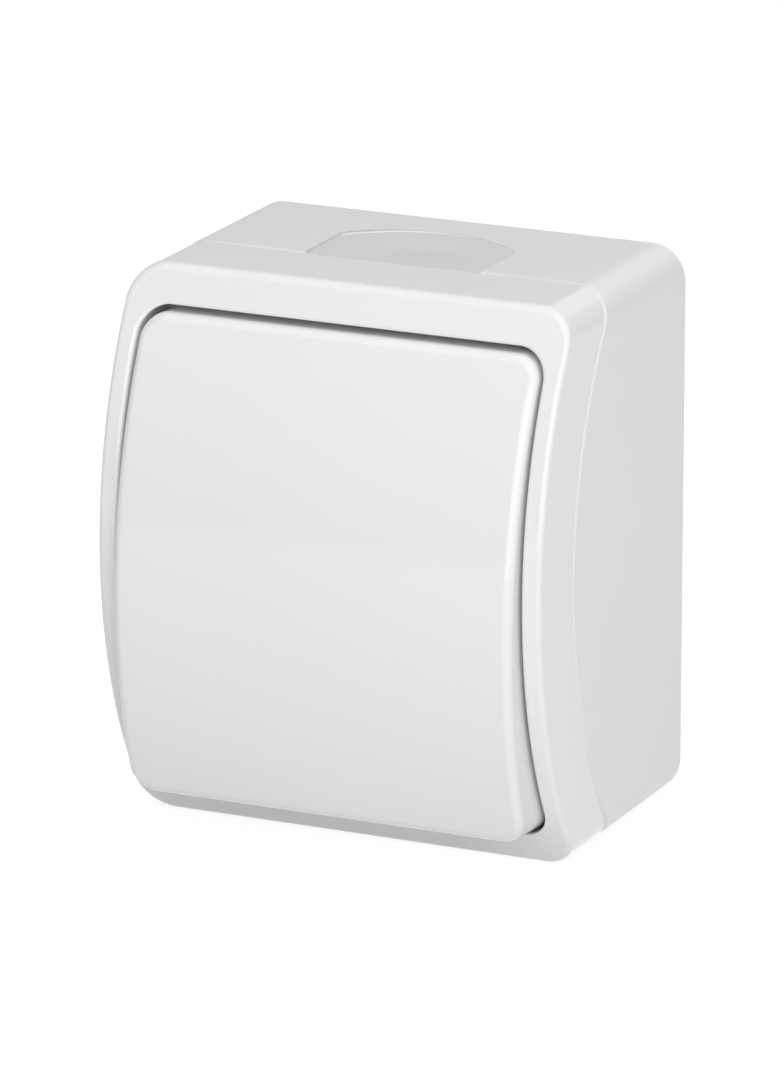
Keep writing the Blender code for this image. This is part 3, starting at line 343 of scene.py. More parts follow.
def strips(bm, faces, heights):
    """Cuts a face into level strips, so that it can bow."""
    for height in heights:
        edges = list({edge for face in faces for edge in face.edges})
        verts = list({vert for face in faces for vert in face.verts})
        cut = bmesh.ops.bisect_plane(bm, geom=verts + edges + faces, dist=NEAR,
                                     plane_co=(0.0, 0.0, height), plane_no=(0.0, 0.0, 1.0))
        faces = [item for item in cut["geom"] if isinstance(item, bmesh.types.BMFace)]


class Skin:
    """A closed skin that grows ring by ring, from a first cap to a last one."""

    def __init__(self, outline, bow, strip_count=STRIPS):
        self.bm = bmesh.new()
        self.outline = outline
        middle = (outline.low + outline.high) / 2
        place = (Matrix.Translation((0.0, 0.0, middle)) @ Matrix.Rotation(math.pi / 2, 4, "X")
                 @ Matrix.Diagonal((2 * outline.half_width, outline.high - outline.low, 1.0, 1.0)))
        made = bmesh.ops.create_grid(self.bm, x_segments=1, y_segments=1, size=0.5, matrix=place)
        bmesh.ops.bevel(self.bm, geom=made["verts"], offset=outline.corner, offset_type="OFFSET",
                        segments=CORNER_SEGMENTS, profile=0.5, affect="VERTICES", material=-1)
        foot = outline.low + outline.corner
        straight = outline.high - outline.corner - foot
        heights = {round(vert.co.z, 7) for vert in self.bm.verts}
        heights |= {foot + straight * n / strip_count for n in range(1, strip_count)}
        strips(self.bm, self.bm.faces[:], sorted(heights)[1:-1])
        self.rim = [edge for edge in self.bm.edges if edge.is_boundary]
        for vert in self.bm.verts:
            vert.co.y = -bow.depth(vert.co.z)

    def ring(self, outline, bow):
        """Pulls the rim out into one more strip of faces, that ends on this outline and surface."""
        grown = bmesh.ops.extrude_edge_only(self.bm, edges=self.rim)["geom"]
        verts = {item for item in grown if isinstance(item, bmesh.types.BMVert)}
        for vert in verts:
            vert.co = outline.place(vert.co, self.outline, bow)
        edges = [item for item in grown if isinstance(item, bmesh.types.BMEdge)]
        self.rim = [edge for edge in edges if verts.issuperset(edge.verts)]
        self.outline = outline

    def turn(self, outline, bow, radius, arrive, leave, facets=TURN_STEPS):
        """Rings round a corner of the section. The two directions are (inwards, outwards)."""
        steps = [(radius + SUPPORT, 0.0)]
        for n in range(facets + 1):
            angle = math.pi / 2 * n / facets
            steps.append((radius * (1 - math.sin(angle)), radius * (1 - math.cos(angle))))
        steps.append((0.0, radius + SUPPORT))
        for before, after in steps:
            inwards = after * leave[0] - before * arrive[0]
            outwards = after * leave[1] - before * arrive[1]
            self.ring(outline.inset(inwards), bow.offset(outwards))

    def close(self):
        faces = bmesh.ops.edgeloop_fill(self.bm, edges=self.rim)["faces"]
        heights = sorted({round(vert.co.z, 7) for face in faces for vert in face.verts})
        strips(self.bm, faces, heights[1:-1])
        return self.bm


def slab(outline, rear, front):
    """A solid between two surfaces."""
    skin = Skin(outline, rear)
    skin.ring(outline, front)
    return skin.close()


def block(x, depth, z, corner=0.0):
    """A box between (low, high) pairs, with its edges along the depth rounded."""
    size = Matrix.Diagonal((x[1] - x[0], depth[1] - depth[0], z[1] - z[0], 1.0))
    place = Matrix.Translation((sum(x) / 2, -sum(depth) / 2, sum(z) / 2))
    bm = bmesh.new()
    bmesh.ops.create_cube(bm, size=1.0, matrix=place @ size)
    if corner:
        along = [edge for edge in bm.edges
                 if abs(edge.verts[0].co.y - edge.verts[1].co.y) > (depth[1] - depth[0]) / 2]
        bmesh.ops.bevel(bm, geom=along, offset=corner, segments=CORNER_SEGMENTS, profile=0.5,
                        affect="EDGES", material=-1)
    return bm


def rod(radius, ends, axis):
    """A cylinder. Its ends are two numbers, and a (low, high) pair along it."""
    turns = {"x": Matrix.Rotation(math.pi / 2, 4, "Y"), "depth": Matrix.Rotation(math.pi / 2, 4, "X"),
             "z": Matrix.Identity(4)}
    along = ("x", "depth", "z").index(axis)
    low, high = ends[along]
    centre = list(ends)
    centre[along] = (low + high) / 2
    place = Matrix.Translation((centre[0], -centre[1], centre[2])) @ turns[axis]
    bm = bmesh.new()
    bmesh.ops.create_cone(bm, cap_ends=True, segments=ROUND_SEGMENTS, radius1=radius, radius2=radius,
                          depth=high - low, matrix=place)
    return bm


def turned(profile):
    """A solid turned about the depth axis. Its (radius, depth) pairs start and end on the axis."""
    bm = bmesh.new()
    verts = [bm.verts.new((radius, -out, 0.0)) for radius, out in profile]
    edges = [bm.edges.new(pair) for pair in zip(verts, verts[1:])]
    bmesh.ops.spin(bm, geom=verts + edges, cent=(0.0, 0.0, 0.0), axis=(0.0, 1.0, 0.0),
                   angle=2 * math.pi, steps=ROUND_SEGMENTS, use_merge=True)
    bmesh.ops.remove_doubles(bm, verts=bm.verts, dist=TOUCH)
    return bm


def wound(bm, face, start, end, turn_count):
    """Winds a face round the depth axis into a coil between two depths."""
    steps = round(turn_count * ROUND_SEGMENTS / 2)
    bmesh.ops.translate(bm, vec=(0.0, -start, 0.0), verts=face.verts)
    bmesh.ops.spin(bm, geom=[*face.verts, *face.edges, face], cent=(0.0, 0.0, 0.0),
                   axis=(0.0, 1.0, 0.0), dvec=(0.0, (start - end) / steps, 0.0),
                   angle=2 * math.pi * turn_count, steps=steps)


def moved(bm, place):
    bmesh.ops.transform(bm, matrix=place, verts=bm.verts)
    return bm


def as_mesh(name, bm):
    bmesh.ops.recalc_face_normals(bm, faces=bm.faces)
    mesh = bpy.data.meshes.new(name)
    bm.to_mesh(mesh)
    bm.free()
    return mesh


def placed(name, data):
    """A new object in the scene."""
    made = bpy.data.objects.new(name, data)
    bpy.context.scene.collection.objects.link(made)
    return made


def carve(piece, steps):
    """Joins, cuts or trims a piece with solids in turn, and leaves no modifier or solid behind."""
    tools = []
    for n, (operation, bm) in enumerate(steps):
        tool = placed(f"tool_{n}", as_mesh(f"tool_{n}", bm))
        tools.append(tool)
        modifier = piece.modifiers.new(f"{operation.title()} {n}", "BOOLEAN")
        modifier.operation = operation
        modifier.solver = "EXACT"
        modifier.object = tool
    graph = bpy.context.evaluated_depsgraph_get()
    carved = bpy.data.meshes.new_from_object(piece.evaluated_get(graph))
    piece.modifiers.clear()
    rough = piece.data
    piece.data = carved
    bpy.data.meshes.remove(rough)
    for tool in tools:
        mesh = tool.data
        bpy.data.objects.remove(tool)
        bpy.data.meshes.remove(mesh)


def new_piece(name, bm, steps=()):
    """A finely modelled piece, with its carving done."""
    piece = placed(name, as_mesh(name, bm))
    if steps:
        carve(piece, steps)
    return piece


def dress(piece, node, sharp=SHARP, across=None):
    """Gives a piece a CAD node's finish and smooth shading, hangs it on the node's body or, when across
    is given, bakes its place into its mesh, and hides the node.
    """
    parts = frame["record"]["subparts"]
    material_slot = next(part["material_slot"] for part in parts if part["node"] == node)
    piece.data.materials.clear()
    piece.data.materials.append(finish_for(material_slot))
    piece.data.shade_smooth()
    piece.data.set_sharp_from_angle(angle=sharp)
    if across is None:
        bodies = frame["record"]["behaviour"]["bodies"]
        body = next(name for name, members in bodies.items() if node in members)
        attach(piece, body)
    else:
        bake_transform(piece)
    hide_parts(node)


def body_outline():
    casing = settings("casing")
    return Outline(casing.half_width, -casing.half_height, casing.half_height, casing.corner)


def window_outline():
    casing, rails = settings("casing"), settings("frame")
    return Outline(casing.half_width - rails.side_rail, rails.bottom_rail - casing.half_height,
                   casing.half_height - rails.top_rail, rails.window_corner)


def parting():
    casing = settings("casing")
    return Bow(casing.crown, casing.radius, casing.bow_height)


def front_bow():
    rails = settings("frame")
    return Bow(rails.crown, rails.radius, settings("casing").bow_height)


def pivot_height():
    window = window_outline()
    return (window.low + window.high) / 2


def rim_space():
    """The room in front of the box's inner ledge."""
    return slab(body_outline().inset(LIP), parting().offset(-REBATE), Bow(2 * settings("frame").crown))


def gland_face(bm, inset, z, front):
    """A D-shaped face seen from above: straight sides that end in a wide arc towards the wall."""
    sizes = settings("gland")
    rise = sizes.shoulder - sizes.apex
    radius = (sizes.half_width ** 2 + rise ** 2) / (2 * rise)
    centre = (0.0, -(sizes.apex + radius), z)
    bmesh.ops.create_circle(bm, cap_ends=True, segments=ARC_SEGMENTS, radius=radius - inset,
                            matrix=Matrix.Translation(centre))
    half = sizes.half_width - inset
    for co, normal in (((half, 0.0, 0.0), (1.0, 0.0, 0.0)), ((-half, 0.0, 0.0), (-1.0, 0.0, 0.0)),
                       ((0.0, -front, 0.0), (0.0, -1.0, 0.0))):
        bmesh.ops.bisect_plane(bm, geom=bm.verts[:] + bm.edges[:] + bm.faces[:], dist=TOUCH, plane_co=co,
                               plane_no=normal, clear_outer=True)


def gland_plate(inset, low, high, front=None, flare=0.0):
    """A D-shaped plate between two heights. Flare widens its upper end, away from its right."""
    bm = bmesh.new()
    front = settings("casing").crown if front is None else front
    gland_face(bm, inset, low, front)
    grown = bmesh.ops.extrude_face_region(bm, geom=bm.faces[:])["geom"]
    verts = [item for item in grown if isinstance(item, bmesh.types.BMVert)]
    bmesh.ops.translate(bm, vec=(0.0, 0.0, high - low), verts=verts)
    if flare:
        sizes = settings("gland")
        fixed = Vector((sizes.half_width, -sizes.shoulder, 0.0))
        grow = 1 + flare / sizes.half_width
        bmesh.ops.scale(bm, vec=(grow, grow, 1.0), space=Matrix.Translation(-fixed), verts=verts)
    return bm


class Value:
    """A number or colour inside a finish. Arithmetic on it adds Math nodes."""

    def __init__(self, finish, socket):
        self.finish, self.socket = finish, socket

    def math(self, operation, *values):
        return self.finish.node("ShaderNodeMath", {"operation": operation}, dict(enumerate(values)))

    def output(self, name):
        """Another output of the node that this value comes from."""
        return Value(self.finish, self.socket.node.outputs[name])

    def __add__(self, other):
        return self.math("ADD", self, other)

    def __mul__(self, other):
        return self.math("MULTIPLY", self, other)

    __radd__ = __add__
    __rmul__ = __mul__


class Nodes:
    """Makes and links the nodes of one tree."""

    def __init__(self, owner):
        owner.use_nodes = True
        self.tree = owner.node_tree

    def fill(self, sockets, values):
        for key, value in values.items():
            if isinstance(value, Value):
                self.tree.links.new(value.socket, sockets[key])
            else:
                sockets[key].default_value = value

    def node(self, kind, choices=None, values=None, output=0):
        made = self.tree.nodes.new(kind)
        for key, value in (choices or {}).items():
            setattr(made, key, value)
        self.fill(made.inputs, values or {})
        return Value(self, made.outputs[output])

    def seen(self, mirrored=1.0):
        """1 for what the camera sees, also through glass, a share in mirrors, and 0 for other light."""
        path = self.node("ShaderNodeLightPath")
        camera, mirror, through = (path.output(f"Is {kind} Ray")
                                   for kind in ("Camera", "Glossy", "Transmission"))
        return camera.math("MAXIMUM", camera.math("MAXIMUM", camera, through), mirror * mirrored)


class Finish(Nodes):
    """A procedural material in the making, on Object coordinates."""

    def __init__(self, name):
        self.material = bpy.data.materials.new(name)
        super().__init__(self.material)
        self.surface = self.tree.nodes["Principled BSDF"]
        self.place = self.node("ShaderNodeTexCoord", output="Object")

    def noise(self, scale, detail=2.0, roughness=0.5, stretch=(1.0, 1.0, 1.0)):
        """Soft noise from about 0 to 1, with its scale in cells a metre."""
        place = self.node("ShaderNodeMapping", {"vector_type": "POINT"},
                          {"Vector": self.place, "Scale": stretch})
        values = {"Vector": place, "Scale": scale, "Detail": detail, "Roughness": roughness}
        return self.node("ShaderNodeTexNoise", {"noise_dimensions": "3D"}, values, "Fac")

    def ramp(self, value, low, high):
        return self.node("ShaderNodeMapRange", {"interpolation_type": "SMOOTHSTEP"},
                         {"Value": value, "From Min": low, "From Max": high})

    def blend(self, share, first, second):
        """A colour between two colours."""
        return self.node("ShaderNodeMix", {"data_type": "RGBA"}, {0: share, 6: first, 7: second}, 2)

    def bump(self, height, distance, under=None):
        values = {"Height": height, "Distance": distance, "Strength": 1.0}
        if under is not None:
            values["Normal"] = under
        return self.node("ShaderNodeBump", {}, values, "Normal")

    def done(self, **values):
        self.fill(self.surface.inputs, {key.replace("_", " "): value for key, value in values.items()})
        return self.material


def shade_of(tint, factor):
    return (tint[0] * factor, tint[1] * factor, tint[2] * factor, 1.0)


def moulded_gloss(name, tint, roughness):
    """Hard moulded plastic with a polished skin: faint cloudiness, a slight ripple and a fine haze."""
    finish = Finish(name)
    clouds = finish.noise(45.0, 3.0)
    haze = finish.noise(300.0, 3.0)
    ripple = finish.noise(110.0, 1.0)
    return finish.done(
        Base_Color=finish.blend(clouds, shade_of(tint, 0.985), shade_of(tint, 1.01)),
        Roughness=roughness + 0.04 * haze,
        IOR=1.5,
        Normal=finish.bump(ripple, 0.000006),
    )


def moulded_satin(name, tint, roughness):
    """Moulded plastic from a finely spark-eroded mould."""
    finish = Finish(name)
    clouds = finish.noise(38.0, 3.0)
    grain = finish.noise(3600.0, 2.0, 0.6)
    ripple = finish.noise(180.0, 1.0)
    skin = finish.bump(ripple, 0.00001)
    return finish.done(
        Base_Color=finish.blend(clouds, shade_of(tint, 0.98), shade_of(tint, 1.01)),
        Roughness=roughness + 0.08 * grain,
        IOR=1.5,
        Normal=finish.bump(grain, 0.000006, under=skin),
    )


def soft_gland(name, tint):
    """Soft, slightly milky plastic with a fine grain."""
    finish = Finish(name)
    clouds = finish.noise(120.0, 3.0)
    grain = finish.noise(3000.0, 2.0)
    return finish.done(
        Base_Color=finish.blend(clouds, shade_of(tint, 0.96), shade_of(tint, 1.02)),
        Roughness=0.42 + 0.08 * grain,
        IOR=1.45,
        Normal=finish.bump(grain, 0.000006),
    )


def rubber(name, tint):
    """Matt rubber with a dusty bloom."""
    finish = Finish(name)
    bloom = finish.noise(300.0, 4.0)
    grain = finish.noise(4200.0, 2.0)
    return finish.done(
        Base_Color=finish.blend(bloom, shade_of(tint, 0.85), shade_of(tint, 1.15)),
        Roughness=0.6 + 0.2 * bloom,
        Normal=finish.bump(grain, 0.00001),
    )


def thermoset(name, tint):
    """Filled thermoset, with fine darker and lighter specks."""
    finish = Finish(name)
    specks = finish.ramp(finish.noise(2600.0, 1.0), 0.42, 0.62)
    clouds = finish.noise(90.0, 3.0)
    return finish.done(
        Base_Color=finish.blend(specks * 0.5 + clouds * 0.5, shade_of(tint, 0.9), shade_of(tint, 1.08)),
        Roughness=0.38 + 0.15 * clouds,
        Normal=finish.bump(specks, 0.000006),
    )


def drawn_metal(name, tint, roughness, stretch):
    """Rolled or drawn metal, with fine lines one way and faint stains."""
    finish = Finish(name)
    lines = finish.noise(2400.0, 3.0, 0.6, stretch)
    stains = finish.noise(150.0, 4.0)
    return finish.done(
        Base_Color=finish.blend(stains, shade_of(tint, 0.88), shade_of(tint, 1.06)),
        Metallic=1.0,
        Roughness=roughness + 0.16 * lines + 0.06 * stains,
        Normal=finish.bump(lines, 0.000004),
    )


WHITE = (1.0, 1.0, 1.0, 1.0)
FINISHES = {}


def finish_for(slot):
    """The finish of a material slot, made once."""
    tints = settings("colours")
    makers = {
        "white_plastic": lambda: moulded_gloss("gloss white plastic", tints.gloss, 0.06),
        "casing_plastic": lambda: moulded_satin("satin white plastic", tints.casing, 0.30),
        "gland_plastic": lambda: soft_gland("milky soft plastic", tints.gland),
        "seal_rubber": lambda: rubber("grey seal rubber", tints.rubber),
        "ivory_plastic": lambda: moulded_satin("ivory plastic", tints.ivory, 0.38),
        "thermoset": lambda: thermoset("stone thermoset", tints.thermoset),
        "plated_steel": lambda: drawn_metal("plated strap steel", tints.strap, 0.28, (0.06, 1.0, 1.0)),
        "contact_brass": lambda: drawn_metal("rolled brass", tints.brass, 0.22, (1.0, 1.0, 0.08)),
        "silver": lambda: drawn_metal("contact silver", tints.silver, 0.2, (1.0, 1.0, 1.0)),
        "screw_steel": lambda: drawn_metal("bright screw steel", tints.steel, 0.24, (1.0, 0.3, 1.0)),
    }
    if slot not in FINISHES:
        FINISHES[slot] = makers[slot]()
    return FINISHES[slot]


class SWITCH_OT_rear_box(Operator):
    """Model the wall box: rounded shell, bowed rim, ledge, posts, slots, knock-out and gland notch"""

    bl_idname = "switch.rear_box"
    bl_label = "Rear box"

    def execute(self, context):
        casing, gland = settings("casing"), settings("gland")
        body, seam, wall_face = body_outline(), parting(), Bow(0.0)
        inside = body.inset(casing.wall)
        skin = Skin(body.inset(casing.back_edge + 2 * SUPPORT), wall_face)
        skin.turn(body, wall_face, casing.back_edge, (-1, 0), (0, 1))
        skin.turn(body, seam, casing.seam_edge, (0, 1), (1, 0), 1)
        skin.ring(body.inset(LIP), seam)
        skin.ring(body.inset(LIP), seam.offset(-REBATE))
        skin.ring(inside, seam.offset(-REBATE))
        skin.turn(inside, Bow(casing.back), casing.inner_edge, (0, -1), (1, 0))
        steps = self.posts(casing, seam) + self.floor(casing) + self.openings(casing, gland)
        dress(new_piece("rear_box_shell", skin.close(), steps), "rear_box")
        return {"FINISHED"}

    def posts(self, casing, seam):
        """Pillars for the screws of the frame and of the strap, each tied to a side wall by a rib."""
        places = [(x, z, seam.depth(z) - FRAME_SEAT - GAP) for x, z in FRAME_SCREWS]
        places += [(x, pivot_height(), STRAP_SEAT) for x in (-STRAP_SCREW_X, STRAP_SCREW_X)]
        steps = []
        for x, z, top in places:
            side = math.copysign(casing.half_width - casing.wall / 2, x)
            steps.append(("UNION", rod(POST_RADIUS, (x, (casing.back / 2, top), z), "depth")))
            steps.append(("UNION", block(sorted((x, side)), (casing.back / 2, top - POST_RADIUS),
                                         (z - POST_RIB / 2, z + POST_RIB / 2))))
            hole = (x, (top - SCREW_LENGTH, top + GAP), z)
            steps.append(("DIFFERENCE", rod(SCREW_RADIUS + PIN_PLAY, hole, "depth")))
        return steps

    def floor(self, casing):
        """Raised pads with the two long holes for the wall screws, and a rib between them."""
        top = casing.back + PAD_RISE
        reach = FIXING_Z - 2 * FIXING_HALF_LENGTH
        rib = block((-POST_RIB / 2, POST_RIB / 2), (casing.back / 2, top), (-reach, reach))
        steps = [("UNION", rib)]
        for half_x, half_z, z in ((FIXING_HALF_WIDTH, FIXING_HALF_LENGTH, FIXING_Z),
                                  (FIXING_HALF_LENGTH, FIXING_HALF_WIDTH, -FIXING_Z)):
            wide, tall = half_x + PAD_MARGIN, half_z + PAD_MARGIN
            steps.append(("UNION", block((-wide, wide), (casing.back / 2, top), (z - tall, z + tall),
                                         FIXING_HALF_WIDTH + PAD_MARGIN / 2)))
            hole = block((-half_x, half_x), (-casing.back, 2 * top), (z - half_z, z + half_z),
                         FIXING_ROUNDNESS * FIXING_HALF_WIDTH)
            steps.append(("DIFFERENCE", hole))
        return steps

    def openings(self, casing, gland):
        """The knock-out in the bottom and the stepped notch for the gland in the top."""
        top = casing.half_height
        ledge = top - gland.recess - gland.lean - GLAND_SKIN
        return [
            ("DIFFERENCE", rod(KNOCKOUT_RADIUS, (0.0, KNOCKOUT_DEPTH_PLACE,
                                                 (KNOCKOUT_SKIN - top, 2 * casing.wall - top)), "z")),
            ("DIFFERENCE", gland_plate(0.0, ledge, top + casing.wall)),
            ("DIFFERENCE", gland_plate(0.0, top - gland.notch_edge, top, flare=gland.notch_edge)),
            ("DIFFERENCE", gland_plate(GLAND_LEDGE, top - 2 * casing.wall, top + casing.wall)),
        ]


class SWITCH_OT_front_frame(Operator):
    """Model the bowed frame: rounded edges, window, floor, tongue, screw seats and rail slots"""

    bl_idname = "switch.front_frame"
    bl_label = "Front frame"

    def execute(self, context):
        casing, rails = settings("casing"), settings("frame")
        body, window = body_outline(), window_outline()
        rear, front = parting().offset(GAP), front_bow()
        tongue_end = parting().offset(-TONGUE)
        tongue, inside = body.inset(LIP + GAP), body.inset(casing.wall)
        skin = Skin(inside, rear)
        skin.ring(inside, tongue_end)
        skin.ring(tongue, tongue_end)
        skin.ring(tongue, rear)
        skin.ring(body, rear)
        skin.turn(body, front, rails.edge, (0, 1), (1, 0))
        skin.turn(window, front, rails.window_edge, (1, 0), (0, -1))
        skin.turn(window, rear.offset(rails.floor), rails.window_edge, (0, -1), (1, 0))
        steps = self.slots(casing, front) + self.seats(rails)
        dress(new_piece("front_frame_moulding", skin.close(), steps), "front_frame")
        return {"FINISHED"}

    def slots(self, casing, front):
        """Slots behind the top and bottom rails keep their walls thin."""
        steps = []
        rear = Bow(casing.back)
        for low in (casing.half_height - casing.wall - CORE_SLOT, casing.wall - casing.half_height):
            slot = Outline(CORE_HALF_WIDTH, low, low + CORE_SLOT, GAP)
            steps.append(("DIFFERENCE", slab(slot, rear, front.offset(-RAIL_FACE))))
        return steps

    def seats(self, rails):
        """Seats for the frame's two screws, and the opening for the boot."""
        steps = []
        for x, z in FRAME_SCREWS:
            seat = parting().depth(z)
            for operation, radius, rear, front in (
                    ("UNION", SEAT_POCKET + BOSS_WALL, seat - FRAME_SEAT, seat + FRAME_SEAT),
                    ("DIFFERENCE", SEAT_POCKET, seat, seat + 2 * POST_RADIUS),
                    ("DIFFERENCE", SCREW_RADIUS + PIN_PLAY, seat - POST_RADIUS, seat + POST_RADIUS)):
                steps.append((operation, rod(radius, (x, (rear, front), z), "depth")))
        middle = pivot_height()
        steps.append(("DIFFERENCE", block((-OPENING_HALF_WIDTH, OPENING_HALF_WIDTH), (0.0, rails.crown),
                                          (middle - OPENING_HALF_HEIGHT, middle + OPENING_HALF_HEIGHT),
                                          OPENING_CORNER)))
        return steps


class SWITCH_OT_rocker_key(Operator):
    """Model the convex key: polished face, rounded edges, skirt, ribs and clip legs"""

    bl_idname = "switch.rocker_key"
    bl_label = "Rocker key"

    def execute(self, context):
        casing, rails, key = settings("casing"), settings("frame"), settings("key")
        window = window_outline()
        half_height = (window.high - window.low) / 2 - key.end_gap
        outer = Outline(window.half_width - key.side_gap, -half_height, half_height,
                        window.corner - key.side_gap)
        inner = outer.inset(key.wall)
        face = Bow(key.pivot_drop, key.radius)
        skirt = Bow(KEY_SKIRT_CROWN, KEY_SKIRT_RADIUS)
        skin = Skin(inner, face.offset(-key.face))
        skin.turn(inner, skirt, GAP, (0, -1), (-1, 0))
        skin.turn(outer, skirt, GAP, (-1, 0), (0, 1))
        skin.turn(outer, face, key.edge, (0, 1), (1, 0))
        steps = self.ribs(key, face, half_height) + self.legs(key, face)
        piece = new_piece("rocker_key_shell", skin.close(), steps)
        pivot = Vector((0.0, -(rails.crown + key.proud - key.pivot_drop), pivot_height()))
        piece.data.transform(Matrix.Translation(pivot) @ Matrix.Rotation(key.tilt, 4, "X"))
        dress(piece, "rocker_key")
        return {"FINISHED"}

    def ribs(self, key, face, half_height):
        """Two long ribs under the face, and two short ones that land on the cradle."""
        steps = []
        reach = half_height - key.wall / 2
        for x in (-KEY_RIB_X, KEY_RIB_X):
            rib = slab(Outline(KEY_RIB / 2, -reach, reach, GAP), face.offset(-key.face - KEY_RIB_HEIGHT),
                       face.offset(-key.face / 2))
            steps.append(("UNION", moved(rib, Matrix.Translation((x, 0.0, 0.0)))))
        for z in (-CRADLE_HALF_HEIGHT * 2 / 3, CRADLE_HALF_HEIGHT * 2 / 3):
            steps.append(("UNION", block((-CRADLE_HALF_WIDTH, CRADLE_HALF_WIDTH),
                                         (CRADLE_FRONT + GAP, key.pivot_drop - key.face / 2),
                                         (z - KEY_RIB / 2, z + KEY_RIB / 2))))
        return steps

    def legs(self, key, face):
        steps = []
        root = face.depth(CRADLE_HALF_HEIGHT) - key.face / 2
        front = CRADLE_RISE - GAP
        half = (-KEY_LEG_HALF_WIDTH, KEY_LEG_HALF_WIDTH)
        inner = CRADLE_HALF_HEIGHT + GAP
        for side in (1, -1):
            leg = sorted((side * inner, side * (inner + KEY_LEG)))
            hook = sorted((side * (inner - GAP - KEY_HOOK), side * (inner + KEY_LEG / 2)))
            steps.append(("UNION", block(half, (front - KEY_LEG, root), leg)))
            steps.append(("UNION", block(half, (front - KEY_LEG, front), hook)))
        return steps


class SWITCH_OT_cable_gland(Operator):
    """Model the soft gland: rounded plate with a shallow dish, neck, flange and thin membrane"""

    bl_idname = "switch.cable_gland"
    bl_label = "Cable gland"

    def execute(self, context):
        casing, gland = settings("casing"), settings("gland")
        top = casing.half_height - gland.recess
        front = parting().depth(top)
        low = top - GLAND_SKIN
        bm = gland_plate(GLAND_FIT, low, top, front)
        rim = [edge for edge in bm.edges if all(vert.co.z > top - NEAR for vert in edge.verts)]
        bmesh.ops.bevel(bm, geom=rim, offset=gland.edge, segments=EDGE_SEGMENTS, profile=0.5,
                        affect="EDGES", material=-1)
        self.dish(bm, gland, top, front)
        for vert in bm.verts:
            vert.co.z += gland.lean * vert.co.x / gland.half_width
        flange_top = casing.half_height - casing.wall - GAP
        flange_low = flange_top - GLAND_FLANGE
        middle = (gland.apex + front) / 2
        hollow = (flange_low - GLAND_FLANGE, top - gland.dish_depth - MEMBRANE)
        piece = new_piece("cable_gland_plate", bm, [
            ("UNION", gland_plate(GLAND_LEDGE + GAP, flange_low + GLAND_FLANGE / 2,
                                  low + GLAND_SKIN / 2, front - GAP)),
            ("UNION", gland_plate(-GLAND_GRIP, flange_low, flange_top, front)),
            ("DIFFERENCE", rim_space()),
            ("DIFFERENCE", rod(MEMBRANE_RADIUS, (0.0, middle, hollow), "z")),
        ])
        dress(piece, "cable_gland", sharp=GLAND_SHARP)
        return {"FINISHED"}

    def dish(self, bm, gland, top, front):
        """Sinks the plate's top face into a smooth shallow dish."""
        face = max(bm.faces, key=lambda item: item.calc_center_median().z + item.calc_area())
        bmesh.ops.inset_region(bm, faces=[face], thickness=SUPPORT, use_even_offset=True,
                               use_boundary=True)
        faces = [face]
        half, near, far = gland.half_width, gland.apex, front
        cuts = [((half * n / DISH_COLUMNS, 0.0, 0.0), (1.0, 0.0, 0.0))
                for n in range(1 - DISH_COLUMNS, DISH_COLUMNS)]
        cuts += [((0.0, -(near + (far - near) * n / DISH_ROWS), 0.0), (0.0, 1.0, 0.0))
                 for n in range(1, DISH_ROWS)]
        for co, normal in cuts:
            edges = list({edge for item in faces for edge in item.edges})
            verts = list({vert for item in faces for vert in item.verts})
            cut = bmesh.ops.bisect_plane(bm, geom=verts + edges + faces, dist=TOUCH, plane_co=co,
                                         plane_no=normal)
            faces = [item for item in cut["geom"] if isinstance(item, bmesh.types.BMFace)]
        middle = Vector((0.0, -(near + far) / 2))
        for vert in {vert for item in faces for vert in item.verts}:
            away = Vector((vert.co.x / (DISH_WIDE * half),
                           (vert.co.y - middle.y) / (DISH_DEEP * (far - near)))).length
            if away < 1:
                vert.co.z -= gland.dish_depth * (1 + math.cos(math.pi * away)) / 2


class SWITCH_OT_screws(Operator):
    """Model the six slotted screws: domed heads, slots and rolled threads"""

    bl_idname = "switch.screws"
    bl_label = "Screws"

    def execute(self, context):
        for part in frame["record"]["subparts"]:
            name = part["node"]
            if "screw" in name:
                self.screw(name, *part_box(name))
        return {"FINISHED"}

    def screw(self, name, low, high):
        """A screw that fills the box of its CAD node, across which its head reaches."""
        head_radius = (high.x - low.x) / 2
        radius = head_radius * SCREW_RADIUS / (SCREW_RADIUS + HEAD_OVERHANG)
        core = radius - THREAD_HEIGHT
        top, end = -low.y, -high.y
        under = top - SCREW_HEAD
        side = under + HEAD_SIDE * SCREW_HEAD
        angles = [math.pi / 2 * n / TURN_STEPS for n in range(1, TURN_STEPS + 1)]
        dome = [(head_radius * math.sin(angle), side + (top - side) * math.cos(angle))
                for angle in angles]
        bm = turned([(0.0, top), *dome, (head_radius, under), (core, under), (core, end + core / 2),
                     (core / 2, end), (0.0, end)])
        thread = bmesh.new()
        foot = core - THREAD_HEIGHT / 2
        half = THREAD_FOOT * THREAD_PITCH / 2
        ridge = [thread.verts.new((across, along, 0.0))
                 for across, along in ((foot, half), (radius, 0.0), (foot, -half))]
        first, last = end + core, under - THREAD_PITCH
        wound(thread, thread.faces.new(ridge), first, last, (last - first) / THREAD_PITCH)
        slot = block((-2 * head_radius, 2 * head_radius), (top - SLOT_DEPTH, top + SLOT_DEPTH),
                     (-SLOT_WIDTH / 2, SLOT_WIDTH / 2))
        piece = new_piece(f"{name}_turned", bm, [("UNION", thread), ("DIFFERENCE", slot)])
        piece.data.transform(Matrix.Translation(((low.x + high.x) / 2, 0.0, (low.z + high.z) / 2)))
        dress(piece, name)


